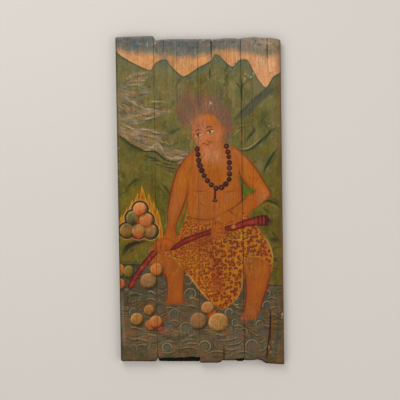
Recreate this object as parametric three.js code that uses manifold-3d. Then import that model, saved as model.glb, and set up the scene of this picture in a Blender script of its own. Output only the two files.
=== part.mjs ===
// A painted wooden guardian panel: four upright boards set edge to edge, painted on one face.
// It lies on its back with the painted face up. Millimetres, +Z up, +Y towards the picture's
// top, +X towards its right. The origin is under the middle of the panel, on the surface it lies on.
import * as THREE from "three";
import { mergeVertices } from "three/addons/utils/BufferGeometryUtils.js";
import Module from "manifold-3d";

// The whole panel
const THICKNESS = 22;
const TOP_END = 450; // the line that the top ends of the boards were once cut to
const FOOT_END = -450;

// The five long edges across the panel, at the top end and at the foot: the tree's taper is left in
const EDGES_AT_TOP = [-231.2, -124.4, -0.9, 119.0, 231.4];
const EDGES_AT_FOOT = [-228.7, -125.8, -7.4, 117.4, 228.9];
const JOINT_GAP = 0.3; // between one board and the next, since their glue let go
const WORN_ARRIS = 1.2; // how far the edges have worn round
const ARRIS_STEPS = 2;

// The ends of each board, from its left edge to its right: how far across it a point lies, as a
// share of its width, and how far the wood reaches past the line that the ends were cut to.
const BOARDS = [
  {
    name: "left_board",
    top: [[0, 8.6], [0.03, 11.4], [0.5, 12.6], [0.97, 13.4], [1, 11.8]],
    foot: [[0, -6], [0.03, -3.1], [0.5, -2.2], [0.95, -1.1], [0.975, -4], [1, -16.7]],
  },
  {
    name: "second_board",
    top: [[0, -1.6], [0.1, 1.7], [0.19, 2.9], [0.3, 3.8], [0.83, 3.2], [1, 2.6]],
    foot: [[0, -16.7], [0.035, -0.8], [0.3, 0.6], [0.97, 1.6], [1, 0.6]],
  },
  {
    name: "third_board",
    top: [[0, 2.2], [0.03, 3], [0.29, 2.3], [0.38, 0.7], [0.52, 2.5], [0.66, 4], [0.78, 3.8], [1, 1.2]],
    foot: [[0, 3.2], [0.03, 4.5], [0.4, 5.1], [0.47, 3.2], [0.5, -1.1], [0.8, -0.4], [0.85, 2.4], [0.96, 2.8], [1, -1]],
  },
  {
    name: "right_board",
    top: [[0, 2.4], [0.03, 3.4], [0.34, 6.1], [0.54, 3.2], [0.72, 3.2], [0.91, -0.2], [0.97, -2.2], [1, -6]],
    foot: [[0, -1.2], [0.14, 0], [0.34, -2.5], [0.44, 1.3], [0.54, 9], [0.97, 12.7], [1, 11.4]],
  },
];

// Wood lost from the front of the lower ends, where the board behind shows dark and bare:
// shares of the board's width, then the height where the front stops and how deep the loss is
const FRONT_LOSSES = [
  { board: "second_board", from: -0.1, to: 1.1, startLeft: -439.5, startRight: -437.9, depth: 10 },
  { board: "third_board", from: 0.79, to: 1.1, startLeft: -444.5, startRight: -442.5, depth: 8 },
  { board: "right_board", from: 0.52, to: 0.9, startLeft: -455.5, startRight: -460.5, depth: 5 },
];

// Splits that run in from the ends along the grain: share of the width, mouth and length
const SPLITS = [
  { board: "third_board", end: "top", across: 0.312, mouth: 1.2, length: 62 },
  { board: "third_board", end: "foot", across: 0.538, mouth: 1.2, length: 48 },
  { board: "right_board", end: "top", across: 0.663, mouth: 1.0, length: 90 },
];
const PAST_THE_WOOD = 20; // how far a cutting shape runs on past the wood it cuts

const wasm = await Module();
wasm.setup();

const old_paint = new THREE.MeshStandardMaterial({ color: 0x5a4a2c, roughness: 0.62, metalness: 0 });

// Where a share of a board's width lies across the panel, at a height along it
function acrossAt(index, share, height) {
  const fromTop = (TOP_END - height) / (TOP_END - FOOT_END);
  const edge = (i) => EDGES_AT_TOP[i] + (EDGES_AT_FOOT[i] - EDGES_AT_TOP[i]) * fromTop;
  const last = BOARDS.length - 1;
  const left = edge(index) + (index > 0 ? JOINT_GAP / 2 : 0);
  const right = edge(index + 1) - (index < last ? JOINT_GAP / 2 : 0);
  return left + (right - left) * share;
}

// A flat shape through points [across, height], extruded up from the surface
function extruded(points, low, high, arris = 0) {
  const outline = new THREE.Shape(points.map(([x, y]) => new THREE.Vector2(x, y)));
  const geometry = new THREE.ExtrudeGeometry(outline, {
    depth: high - low - 2 * arris,
    bevelEnabled: arris > 0,
    bevelThickness: arris,
    bevelSize: arris,
    bevelOffset: -arris,
    bevelSegments: ARRIS_STEPS,
  });
  return geometry.translate(0, 0, low + arris);
}

function solidOf(geometry) {
  geometry.deleteAttribute("normal");
  geometry.deleteAttribute("uv");
  const merged = mergeVertices(geometry, 1e-4);
  const vertProperties = merged.attributes.position.array;
  const triVerts = new Uint32Array(merged.index.array);
  return new wasm.Manifold(new wasm.Mesh({ numProp: 3, vertProperties, triVerts }));
}

function geometryOf(solid) {
  const mesh = solid.getMesh();
  const geometry = new THREE.BufferGeometry();
  geometry.setAttribute("position", new THREE.BufferAttribute(mesh.vertProperties, 3));
  geometry.setIndex(new THREE.BufferAttribute(mesh.triVerts, 1));
  geometry.computeVertexNormals();
  return geometry;
}

// The board with its worn ends: up its left edge at the foot, round the top, and back down
function boardBlank(board, index) {
  const foot = board.foot.map(([share, past]) => [share, FOOT_END - past]);
  const top = board.top.map(([share, past]) => [share, TOP_END + past]).reverse();
  const points = [...foot, ...top].map(([share, y]) => [acrossAt(index, share, y), y]);
  return solidOf(extruded(points, 0, THICKNESS, WORN_ARRIS));
}

function frontLoss({ from, to, startLeft, startRight, depth }, index) {
  const left = acrossAt(index, from, FOOT_END);
  const right = acrossAt(index, to, FOOT_END);
  const below = FOOT_END - PAST_THE_WOOD;
  const points = [[left, below], [right, below], [right, startRight], [left, startLeft]];
  return solidOf(extruded(points, THICKNESS - depth, THICKNESS + PAST_THE_WOOD));
}

function split({ end, across, mouth, length }, index) {
  const line = end === "top" ? TOP_END : FOOT_END;
  const outward = Math.sign(line);
  const x = acrossAt(index, across, line);
  const tip = [x, line - outward * length];
  const wide = (mouth / 2) * (1 + PAST_THE_WOOD / length);
  const outer = line + outward * PAST_THE_WOOD;
  const points = [tip, [x + outward * wide, outer], [x - outward * wide, outer]];
  return solidOf(extruded(points, -PAST_THE_WOOD, THICKNESS + PAST_THE_WOOD));
}

const panel = new THREE.Group();
BOARDS.forEach((board, index) => {
  const ofThisBoard = (cut) => cut.board === board.name;
  const cuts = [
    ...FRONT_LOSSES.filter(ofThisBoard).map((loss) => frontLoss(loss, index)),
    ...SPLITS.filter(ofThisBoard).map((crack) => split(crack, index)),
  ];
  const solid = cuts.reduce((wood, cut) => wood.subtract(cut), boardBlank(board, index));
  const mesh = new THREE.Mesh(geometryOf(solid), old_paint);
  mesh.name = board.name;
  panel.add(mesh);
});

// The middle of the finished outline comes over the origin
const middle = new THREE.Box3().setFromObject(panel).getCenter(new THREE.Vector3());
panel.position.set(-middle.x, -middle.y, 0);

export default panel;
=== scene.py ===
import math

import bmesh
import bpy
import numpy as np
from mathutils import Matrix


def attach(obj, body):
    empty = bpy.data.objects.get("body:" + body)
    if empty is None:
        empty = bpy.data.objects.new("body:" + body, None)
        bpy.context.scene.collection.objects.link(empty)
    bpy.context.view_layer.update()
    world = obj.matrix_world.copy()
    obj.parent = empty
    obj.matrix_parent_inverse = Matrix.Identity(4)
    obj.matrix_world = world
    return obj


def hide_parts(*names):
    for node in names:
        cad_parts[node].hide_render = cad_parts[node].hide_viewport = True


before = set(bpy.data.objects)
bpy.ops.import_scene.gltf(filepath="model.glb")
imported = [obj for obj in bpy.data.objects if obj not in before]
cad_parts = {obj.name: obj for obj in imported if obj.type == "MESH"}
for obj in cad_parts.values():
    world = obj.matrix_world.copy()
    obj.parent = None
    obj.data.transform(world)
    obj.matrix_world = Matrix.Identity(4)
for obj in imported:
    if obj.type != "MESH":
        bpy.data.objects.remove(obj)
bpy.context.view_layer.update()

MM = 0.001


def rgb(text):
    """An sRGB hex colour as three numbers from 0 to 1"""
    return np.array([int(text[i:i + 2], 16) for i in (1, 3, 5)]) / 255


def mottle(x, y, across, along, seed):
    """Smooth random values from -1 to 1, in patches of about across by along millimetres"""
    lattice = np.random.default_rng(seed).uniform(-1, 1, (97, 89))
    u, v = x / across + 1000.0, y / along + 1000.0
    i, j = np.floor(u).astype(int), np.floor(v).astype(int)
    f, g = u - i, v - j
    f, g = f * f * (3 - 2 * f), g * g * (3 - 2 * g)
    corner = [lattice[(i + di) % 97, (j + dj) % 89] for di in (0, 1) for dj in (0, 1)]
    low = corner[0] + (corner[1] - corner[0]) * g
    high = corner[2] + (corner[3] - corner[2]) * g
    return low + (high - low) * f


def cloud(x, y, size, seed, stretch=1.0):
    """Mottling of three sizes together, the largest about size millimetres across"""
    layers = [mottle(x, y, size / 2**k, size * stretch / 2**k, seed + k) / 1.7**k for k in range(3)]
    return sum(layers) / 1.5


def curve(points, closed=False, steps=5):
    """A smooth line through the points, with steps pieces between one and the next"""
    p = np.asarray(points, float)
    if closed:
        a, b, c, d = (np.roll(p, k, 0) for k in (1, 0, -1, -2))
    else:
        p = np.vstack([2 * p[0] - p[1], p, 2 * p[-1] - p[-2]])
        a, b, c, d = p[:-3], p[1:-2], p[2:-1], p[3:]
    t = (np.arange(steps) / steps)[:, None, None]
    bend = 2 * b + (c - a) * t + (2 * a - 5 * b + 4 * c - d) * t**2 + (3 * b - a - 3 * c + d) * t**3
    path = (bend / 2).transpose(1, 0, 2).reshape(-1, 2)
    return np.vstack([path, path[:1] if closed else p[-2:-1]])


def to_path(x, y, path):
    """How far each place is from a path, and where on it the nearest place is, from 0 to 1"""
    start, piece = path[:-1], np.diff(path, axis=0)
    length = np.maximum(np.hypot(*piece.T), 1e-9)
    run = np.concatenate([[0], np.cumsum(length)])
    gaps, alongs = [], []
    for k in range(0, len(x), 20000):
        px = x[k:k + 20000, None] - start[:, 0]
        py = y[k:k + 20000, None] - start[:, 1]
        t = ((px * piece[:, 0] + py * piece[:, 1]) / length**2).clip(0, 1)
        gap = np.hypot(px - t * piece[:, 0], py - t * piece[:, 1])
        near = gap.argmin(1)
        row = np.arange(len(near))
        gaps.append(gap[row, near])
        alongs.append((run[near] + t[row, near] * length[near]) / run[-1])
    return np.concatenate(gaps), np.concatenate(alongs)


def is_inside(x, y, path):
    """Whether each place is inside a closed path"""
    (x0, y0), (x1, y1) = path[:-1].T, path[1:].T
    inside = []
    for k in range(0, len(x), 20000):
        px, py = x[k:k + 20000, None], y[k:k + 20000, None]
        crossing = (y0 > py) != (y1 > py)
        at = x0 + (py - y0) * (x1 - x0) / np.where(y1 == y0, 1, y1 - y0)
        inside.append((crossing & (px < at)).sum(1) % 2 == 1)
    return np.concatenate(inside)


class Picture:
    """The painting: a colour, as sRGB numbers, for every point of the boards' faces"""

    def __init__(self, x, y):
        self.x, self.y = x, y
        self.colour = np.zeros((len(x), 3))
        self.order = np.argsort(y)
        self.heights = y[self.order]

    def near(self, path, margin):
        low, high = path.min(0) - margin, path.max(0) + margin
        first, last = np.searchsorted(self.heights, (low[1], high[1]))
        found = self.order[first:last]
        x = self.x[found]
        return found[(x >= low[0]) & (x <= high[0])]

    def lay(self, found, cover, colour):
        """Lays paint on the points found: cover goes from 0, none, to 1, solid"""
        under = self.colour[found]
        self.colour[found] = under + np.asarray(cover)[..., None] * (colour - under)

    def area(self, outline, colour, cover=1.0, soft=1.3, edge=None, smooth=True):
        """Fills an outline. edge is (colour, width, strength) of the shading inside its rim"""
        path = curve(outline, closed=True) if smooth else np.vstack([outline, outline[:1]])
        found = self.near(path, soft)
        if not len(found):
            return found, np.zeros(0)
        x, y = self.x[found], self.y[found]
        gap, _ = to_path(x, y, path)
        depth = np.where(is_inside(x, y, path), gap, -gap)
        tone = np.broadcast_to(colour, (len(found), 3))
        if edge:
            shade = np.exp(-depth.clip(0, None) / edge[1]) * edge[2]
            tone = tone + shade[:, None] * (edge[0] - tone)
        self.lay(found, (depth / soft + 0.5).clip(0, 1) * cover, tone)
        return found, depth

    def line(self, points, width, colour, cover=1.0, taper=(0.25, 0.25), soft=1.2, smooth=True):
        """A brush line, with the shares of its length over which it thins out at its two ends"""
        path = curve(points, steps=4) if smooth else np.asarray(points, float)
        found = self.near(path, width)
        if not len(found):
            return
        gap, along = to_path(self.x[found], self.y[found], path)
        body = np.interp(along, (0, taper[0], 1 - taper[1], 1), (0.15, 1, 1, 0.15))
        reach = (width * body / 2 - gap) / soft + 0.5
        self.lay(found, reach.clip(0, 1) * cover * body.clip(0.3, 1), colour)

    def spot(self, centre, radius, colour, cover=1.0, soft=1.3, squash=1.0, edge=None):
        """A round spot, or an oval one with squash as its height over its width"""
        box = np.array([centre, centre])
        found = self.near(box, radius + soft)
        dx, dy = self.x[found] - centre[0], (self.y[found] - centre[1]) / squash
        depth = radius - np.hypot(dx, dy)
        tone = np.broadcast_to(colour, (len(found), 3))
        if edge:
            shade = np.exp(-depth.clip(0, None) / edge[1]) * edge[2]
            tone = tone + shade[:, None] * (edge[0] - tone)
        self.lay(found, (depth / soft + 0.5).clip(0, 1) * cover, tone)

    def flesh_glow(self, centre, reach, colour, cover=0.5):
        """A soft-edged patch of colour, on flesh only: where red stands well over green"""
        found = self.near(np.array([centre, centre]), reach * 2)
        dx, dy = self.x[found] - centre[0], self.y[found] - centre[1]
        red, green = self.colour[found, 0], self.colour[found, 1]
        flesh = ((red - green - 0.14) / 0.08).clip(0, 1)
        self.lay(found, flesh * cover * np.exp(-(dx**2 + dy**2) / reach**2), colour)

    def glow(self, centre, reach, colour, cover=0.5, squash=1.0):
        """A soft-edged patch of colour"""
        found = self.near(np.array([centre, centre]), max(reach, reach * squash) * 2)
        dx, dy = self.x[found] - centre[0], (self.y[found] - centre[1]) / squash
        self.lay(found, cover * np.exp(-(dx**2 + dy**2) / reach**2), colour)


# Sky and mountains. All places in the picture are millimetres from its middle.
SKY_FOOT = [(-235, 426), (-205, 422), (-163, 413), (-121, 409), (-79, 405), (-23, 402), (33, 413),
            (53, 420), (103, 419), (131, 410), (187, 404), (240, 412)]
SKYLINE = [(-235, 428), (-222, 414), (-208, 403), (-169, 381), (-134, 367), (-127, 378),
           (-118, 388), (-107, 394), (-94, 397), (-86, 393), (-79, 381), (-57, 359), (-39, 349),
           (-1, 372), (36, 392), (51, 410), (82, 382), (95, 374), (104, 381), (114, 391),
           (122, 393), (134, 393), (141, 387), (158, 354), (168, 336), (177, 324), (188, 314),
           (197, 324), (207, 341), (217, 349), (240, 361)]
PEAKS = [(-94, 397), (51, 410), (128, 393)]
RIDGES = [  # the near edges of the slopes: points, width and how strongly they show
    ([(-124, 379), (-133, 367), (-143, 353), (-153, 339), (-167, 328)], 4.5, 0.8),
    ([(-39, 349), (-52, 339), (-61, 326), (-65, 310), (-68, 296)], 3.5, 0.6),
    ([(94, 373), (88, 358), (78, 344), (73, 330)], 5, 0.5),
    ([(199, 246), (183, 229), (169, 214), (159, 203)], 4, 0.7),
    ([(229, 203), (208, 197), (194, 183), (177, 166), (158, 150), (147, 139), (131, 129)], 6, 0.85),
    ([(159, 207), (149, 189), (137, 175), (126, 157)], 7, 0.6),
    ([(224, 149), (210, 132), (197, 114), (187, 97), (180, 82), (178, 65)], 8, 0.8),
    ([(173, -9), (187, -3), (198, -4), (209, -12), (224, -25)], 5, 0.8),
    ([(188, -108), (202, -111), (227, -122)], 8, 0.6),
    ([(193, -162), (204, -170), (226, -179)], 5, 0.6),
    ([(-113, 177), (-99, 181), (-85, 188), (-71, 198), (-54, 205)], 4, 0.75),
]
RIDGE_SHADOW = [(193, 317), (174, 296), (157, 284), (140, 266), (120, 248), (96, 227), (103, 224),
    (123, 231), (143, 239), (158, 257), (175, 273), (194, 290), (208, 303), (203, 316)]

MOUNTAIN_STREAKS = [("#6d6a26", 22, 0.6), ("#505a3c", 122, 0.6), ("#86714e", 222, 0.65),
    ("#45441c", 322, 0.6)]


def paint_sky(picture):
    x, y = picture.x, picture.y
    everywhere = np.arange(len(x))
    picture.colour[:] = rgb("#5d605c")
    rightward = ((x - 40) / 190).clip(0, 1)
    picture.lay(everywhere, rightward**0.8 * 0.9, rgb("#a58c6c"))
    low = ((440 - y) / 30).clip(0, 1)
    picture.lay(everywhere, low * 0.75, rgb("#736c5a"))
    picture.lay(everywhere, cloud(x, y, 60, 3, 0.4).clip(0, 1) * 0.45, rgb("#535f62"))
    picture.lay(everywhere, cloud(x, y, 34, 5, 0.6).clip(0, 1) * 0.5, rgb("#6b665c"))
    for seed, colour in ((6, "#7d7a70"), (7, "#474d4c"), (9, "#7a5a48")):
        patch = (mottle(x, y, 9, 7, seed) + 0.6 * mottle(x, y, 3, 5, seed + 40) - 0.35).clip(0, 0.6)
        picture.lay(everywhere, patch, rgb(colour))
    foot = curve(SKY_FOOT)
    depth = np.interp(x, foot[:, 0], foot[:, 1]) - y + 4 * mottle(x, y, 14, 40, 8)
    tone = rgb("#bf8858") + rightward[:, None] * (rgb("#d0986a") - rgb("#bf8858"))
    warm = cloud(x, y, 26, 12) + 0.5 * mottle(x, y, 2.2, 30, 13)
    picture.lay(everywhere, np.exp(-((depth / 9) ** 2)) * 0.6, rgb("#86775c"))
    tone = tone + warm[:, None] * np.array([0.04, 0.045, 0.05])
    picture.lay(everywhere, (depth / 17 + 0.4).clip(0, 1), tone)
    pink = (mottle(x, y, 4, 22, 14) + 0.4 * mottle(x, y, 20, 12, 15) - 0.2).clip(0, 1) * (depth > 0)
    picture.lay(everywhere, pink * 0.5, rgb("#b0714e"))


def brush_slopes(picture):
    """Bundles of short curved brush strokes on the slopes, dark and light by turns"""
    dice = np.random.default_rng(41)
    skyline = np.transpose(SKYLINE)
    for number in range(330):
        x, y = dice.uniform(-232, 230), dice.uniform(-225, 385)
        downhill = np.interp(x, (-230, -120, -30, 60, 230), (-24, -35, 38, 52, 48)) + dice.uniform(-18, 18)
        along = np.array([np.cos(np.radians(downhill)), np.sin(np.radians(downhill))])
        across = np.array([-along[1], along[0]])
        length = dice.uniform(9, 30)
        sag = across * dice.uniform(-0.2, 0.2) * length
        if np.interp(x + length, *skyline) < y + 14 or np.interp(x, *skyline) < y + 8:
            continue
        colour = rgb(("#363b22", "#3f4a33", "#83774a", "#8b7556", "#4a5b44", "#77602f")[number % 6])
        for stroke in range(dice.integers(2, 5)):
            start = np.array([x, y]) + across * stroke * 4.4 + along * dice.uniform(-3, 3)
            points = [start, start + along * length / 2 + sag, start + along * length]
            picture.line(points, dice.uniform(1.4, 3.4), colour, dice.uniform(0.25, 0.6), (0.3, 0.6), 1.5)
            length *= 0.85


def paint_mountains(picture):
    x, y = picture.x, picture.y
    line = curve(SKYLINE, steps=6)
    order = np.maximum.accumulate(line[:, 0])
    depth = np.interp(x, order, line[:, 1]) - y
    everywhere = np.arange(len(x))
    high, low = rgb("#6f6741"), rgb("#5f521f")
    tone = high + ((300 - y) / 330).clip(0, 1)[:, None] * (low - high)
    tone = tone + cloud(x, y, 46, 21)[:, None] * np.array([0.04, 0.035, 0.02])
    picture.lay(everywhere, (depth / 1.6 + 0.5).clip(0, 1), tone)
    ground = everywhere[depth > 1]
    x, y, depth = x[ground], y[ground], depth[ground]
    for colour, seed, share in MOUNTAIN_STREAKS:
        patch = 0.6 * mottle(x, y, 26, 34, seed) + 0.35 * mottle(x, y, 9, 12, seed + 1)
        patch += 0.25 * mottle(x, y, 3, 30, seed + 2) + 0.3 * mottle(x, y, 4, 5, seed + 3)
        picture.lay(ground, patch.clip(0, 1) * share, rgb(colour))
    crest = np.exp(-((depth - 2.5) / 3.2) ** 2) * (0.75 + 0.25 * mottle(x, y, 25, 25, 27))
    picture.lay(ground, crest, rgb("#434530"))
    picture.lay(ground, np.exp(-((depth - 13) / 9) ** 2) * 0.35, rgb("#63675a"))
    brush_slopes(picture)
    for peak in PEAKS:
        picture.glow((peak[0], peak[1] - 14), 17, rgb("#586151"), 0.6, 0.8)
    picture.area(RIDGE_SHADOW, rgb("#4b4d40"), 0.8, 7)
    picture.line(RIDGE_SHADOW[:6], 7, rgb("#3d4138"), 0.6, (0.2, 0.2), 4)
    for points, width, strength in RIDGES:
        picture.line(points, width, rgb("#3f4436"), strength, (0.3, 0.35), 2.6)


# The rocky falls on the left
FALLS = [[(-229, 312), (-212, 309), (-193, 298), (-170, 283), (-148, 269), (-126, 262), (-98, 257),
    (-70, 252), (-107, 240), (-137, 231), (-157, 220), (-177, 215), (-205, 219), (-230, 223)],
         [(-223, 319), (-200, 334), (-189, 362), (-152, 364), (-131, 364), (-144, 344), (-156, 328),
         (-131, 308), (-137, 297), (-165, 287), (-190, 289), (-207, 298)]]
CASCADE = [(-230, 216), (-208, 207), (-197, 201), (-174, 209), (-135, 203), (-107, 197), (-85, 187),
    (-99, 176), (-113, 169), (-108, 159), (-88, 150), (-72, 143), (-44, 139), (-21, 134), (-33, 122),
    (-50, 111), (-66, 111), (-83, 115), (-97, 127), (-111, 138), (-128, 140), (-144, 139), (-161, 147),
    (-178, 156), (-194, 172), (-214, 186), (-231, 188)]
CASCADE_FOOT = [(-231, 188), (-219, 179), (-206, 170), (-189, 157), (-172, 149), (-156, 140), (-142, 139),
    (-125, 138), (-111, 127), (-97, 116), (-83, 110), (-66, 109), (-52, 116), (-38, 120)]
BANKS = [  # the upper and the lower bank of each fall, how many strokes and their seed
    ([(-229, 312), (-193, 298), (-148, 269), (-98, 257), (-70, 252)],
     [(-230, 223), (-177, 215), (-137, 229), (-107, 238), (-70, 250)], 84, 43),
    ([(-205, 345), (-170, 364), (-131, 364)], [(-223, 319), (-190, 289), (-137, 297)], 42, 44),
    ([(-230, 216), (-174, 209), (-107, 197), (-96, 172), (-72, 144), (-21, 134)],
     [(-231, 188), (-189, 157), (-142, 139), (-111, 127), (-83, 110), (-38, 120)], 96, 45),
]
FALL_STREAKS = [  # colour, width, how strongly it shows, points
    ("#8f7c5e", 7, 0.8, [(-200, 354), (-178, 356), (-158, 359), (-138, 363)]),
    ("#5c5237", 3, 0.7, [(-211, 348), (-192, 347), (-164, 349), (-144, 356)]),
    ("#8a7a5c", 5, 0.7, [(-200, 340), (-181, 338), (-161, 339), (-144, 349)]),
    ("#56563a", 4, 0.6, [(-200, 334), (-181, 332), (-164, 335)]),
    ("#8d8068", 5, 0.75, [(-201, 323), (-184, 327), (-161, 327), (-144, 336)]),
    ("#54502f", 3, 0.65, [(-215, 315), (-195, 320), (-175, 322), (-153, 322)]),
    ("#676b33", 8, 0.85, [(-201, 313), (-181, 316), (-156, 315), (-142, 316)]),
    ("#8d6c49", 8, 0.8, [(-204, 302), (-178, 304), (-148, 305)]),
    ("#8b7e62", 5, 0.8, [(-226, 309), (-215, 302), (-198, 299), (-181, 296)]),
    ("#4f4b3a", 4.5, 0.8, [(-198, 292), (-181, 290), (-165, 296), (-139, 304)]),
    ("#746b40", 8, 0.7, [(-196, 284), (-176, 285), (-148, 290)]),
    ("#6f6c58", 11, 0.7, [(-229, 293), (-215, 287), (-198, 277)]),
    ("#64604f", 4, 0.7, [(-204, 275), (-184, 276), (-162, 279)]),
    ("#7d6355", 6, 0.7, [(-190, 272), (-168, 271), (-145, 274)]),
    ("#9c8a66", 3.5, 0.9, [(-223, 306), (-204, 289), (-182, 275), (-162, 266), (-140, 258), (-109, 254),
    (-78, 250)]),
    ("#5d5a3c", 3.5, 0.75, [(-215, 290), (-196, 275), (-176, 264), (-157, 254)]),
    ("#a4936c", 4, 0.9, [(-145, 277), (-123, 279), (-92, 278)]),
    ("#655b38", 4, 0.6, [(-145, 270), (-117, 271), (-86, 274)]),
    ("#877450", 7, 0.7, [(-156, 291), (-151, 280), (-148, 266), (-146, 255)]),
    ("#7a6c44", 6, 0.6, [(-140, 265), (-115, 266), (-87, 269)]),
    ("#8f6e46", 8, 0.75, [(-224, 255), (-202, 259), (-168, 258)]),
    ("#565735", 6, 0.75, [(-227, 270), (-204, 267), (-185, 264)]),
    ("#565733", 6, 0.7, [(-227, 245), (-207, 247), (-193, 246)]),
    ("#66604f", 5, 0.7, [(-199, 246), (-182, 247), (-163, 244)]),
    ("#9a7c51", 9, 0.7, [(-224, 227), (-199, 235), (-171, 240)]),
    ("#605a5a", 5, 0.85, [(-208, 219), (-194, 223), (-174, 224)]),
    ("#6b625e", 3, 0.6, [(-210, 226), (-196, 229), (-182, 229)]),
    ("#a08d66", 3.5, 0.85, [(-230, 223), (-211, 216), (-191, 208), (-174, 205)]),
    ("#4f4e20", 5, 0.8, [(-225, 210), (-208, 205), (-191, 201)]),
    ("#9a8962", 3, 0.8, [(-166, 226), (-143, 232), (-121, 239)]),
    ("#4e5132", 3.5, 0.8, [(-163, 219), (-143, 224), (-123, 232), (-104, 239), (-81, 246)]),
    ("#565a36", 6, 0.55, [(-149, 223), (-129, 228), (-109, 235)]),
    ("#8c755a", 7, 0.6, [(-190, 250), (-165, 247), (-137, 248)]),
    ("#7d7060", 5, 0.7, [(-132, 246), (-115, 243), (-104, 247)]),
]
CASCADE_STREAKS = [
    ("#8f6a45", 14, 0.6, [(-197, 200), (-197, 183), (-189, 166)]),
    ("#967a58", 8, 0.6, [(-183, 211), (-175, 188), (-169, 166)]),
    ("#86695a", 8, 0.6, [(-163, 199), (-158, 179), (-147, 165)]),
    ("#7d6a46", 9, 0.6, [(-149, 188), (-138, 176), (-133, 162)]),
    ("#9a8864", 3.5, 0.85, [(-222, 189), (-205, 182), (-192, 170)]),
    ("#a18f6b", 3, 0.85, [(-178, 157), (-167, 147), (-150, 142), (-139, 148), (-127, 157), (-116, 161),
    (-106, 151), (-101, 137), (-91, 124), (-78, 117), (-64, 119)]),
    ("#4a4334", 3, 0.8, [(-146, 196), (-130, 189), (-113, 186), (-93, 185)]),
    ("#a4957a", 3, 0.85, [(-141, 200), (-127, 194), (-110, 190), (-96, 190)]),
    ("#4c4838", 3, 0.75, [(-122, 165), (-111, 161), (-101, 153), (-85, 150)]),
    ("#4d5a50", 5, 0.7, [(-102, 155), (-85, 154), (-69, 157)]),
    ("#9e8f6c", 3.5, 0.8, [(-116, 175), (-105, 166), (-91, 162)]),
    ("#53472f", 2.5, 0.6, [(-138, 179), (-131, 172), (-133, 165)]),
    ("#5b4a36", 2.5, 0.6, [(-94, 128), (-80, 124), (-63, 128), (-47, 129)]),
    ("#8c7059", 7, 0.6, [(-94, 135), (-72, 135), (-38, 131)]),
    ("#94806a", 5, 0.7, [(-67, 104), (-52, 108), (-38, 113)]),
    ("#54523a", 3, 0.75, [(-113, 177), (-93, 184), (-79, 191), (-62, 200)]),
]
CASCADE_SHADE = [
    ("#353a28", 5, 0.8, [(-152, 127), (-132, 120), (-110, 117)]),
    ("#33382a", 4, 0.8, [(-142, 113), (-123, 113), (-100, 110)]),
    ("#2f372a", 4.5, 0.9, [(-110, 107), (-84, 102), (-64, 97)]),
    ("#323a2b", 4.5, 0.85, [(-104, 98), (-84, 92), (-58, 88)]),
    ("#3a3f28", 3.5, 0.7, [(-100, 88), (-81, 82), (-64, 80)]),
    ("#3c3f2a", 4, 0.6, [(-128, 106), (-111, 99), (-98, 90)]),
    ("#3c3f20", 8, 0.7, [(-225, 176), (-200, 160), (-174, 144), (-149, 129)]),
    ("#444628", 5, 0.5, [(-217, 161), (-192, 145), (-164, 131)]),
    ("#35402c", 4, 0.8, [(-83, 184), (-64, 197), (-51, 206)]),
    ("#3f4c3a", 4, 0.7, [(-94, 149), (-74, 156), (-52, 167)]),
]
GROUND = [
    ("#2c261b", 13, 0.85, [(-134, -111), (-159, -110), (-182, -115), (-199, -122), (-210, -133),
    (-219, -147), (-230, -161)]),
    ("#3a3424", 9, 0.6, [(-171, -126), (-190, -132), (-205, -145)]),
    ("#46401f", 8, 0.5, [(-233, -171), (-208, -170), (-177, -170), (-155, -171)]),
    ("#3d3318", 6, 0.7, [(-235, -116), (-234, -142), (-233, -167)]),
    ("#6f5a22", 16, 0.6, [(-216, -167), (-194, -153), (-165, -140)]),
    ("#7a5c2a", 10, 0.5, [(-199, -134), (-176, -130), (-154, -131)]),
    ("#3c3a22", 7, 0.7, [(195, 5), (209, -2), (223, -17)]),
    ("#4b4a2c", 10, 0.55, [(175, -27), (189, -36), (194, -50)]),
    ("#3c3620", 8, 0.7, [(185, -108), (199, -113), (224, -123)]),
    ("#423c20", 7, 0.6, [(190, -159), (201, -166), (223, -176)]),
    ("#4c4222", 12, 0.45, [(220, -36), (219, -92), (221, -159)]),
    ("#8b7550", 16, 0.5, [(125, 346), (133, 324), (144, 301)]),
    ("#84704a", 14, 0.45, [(99, 335), (96, 302), (93, 268)]),
]
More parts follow.
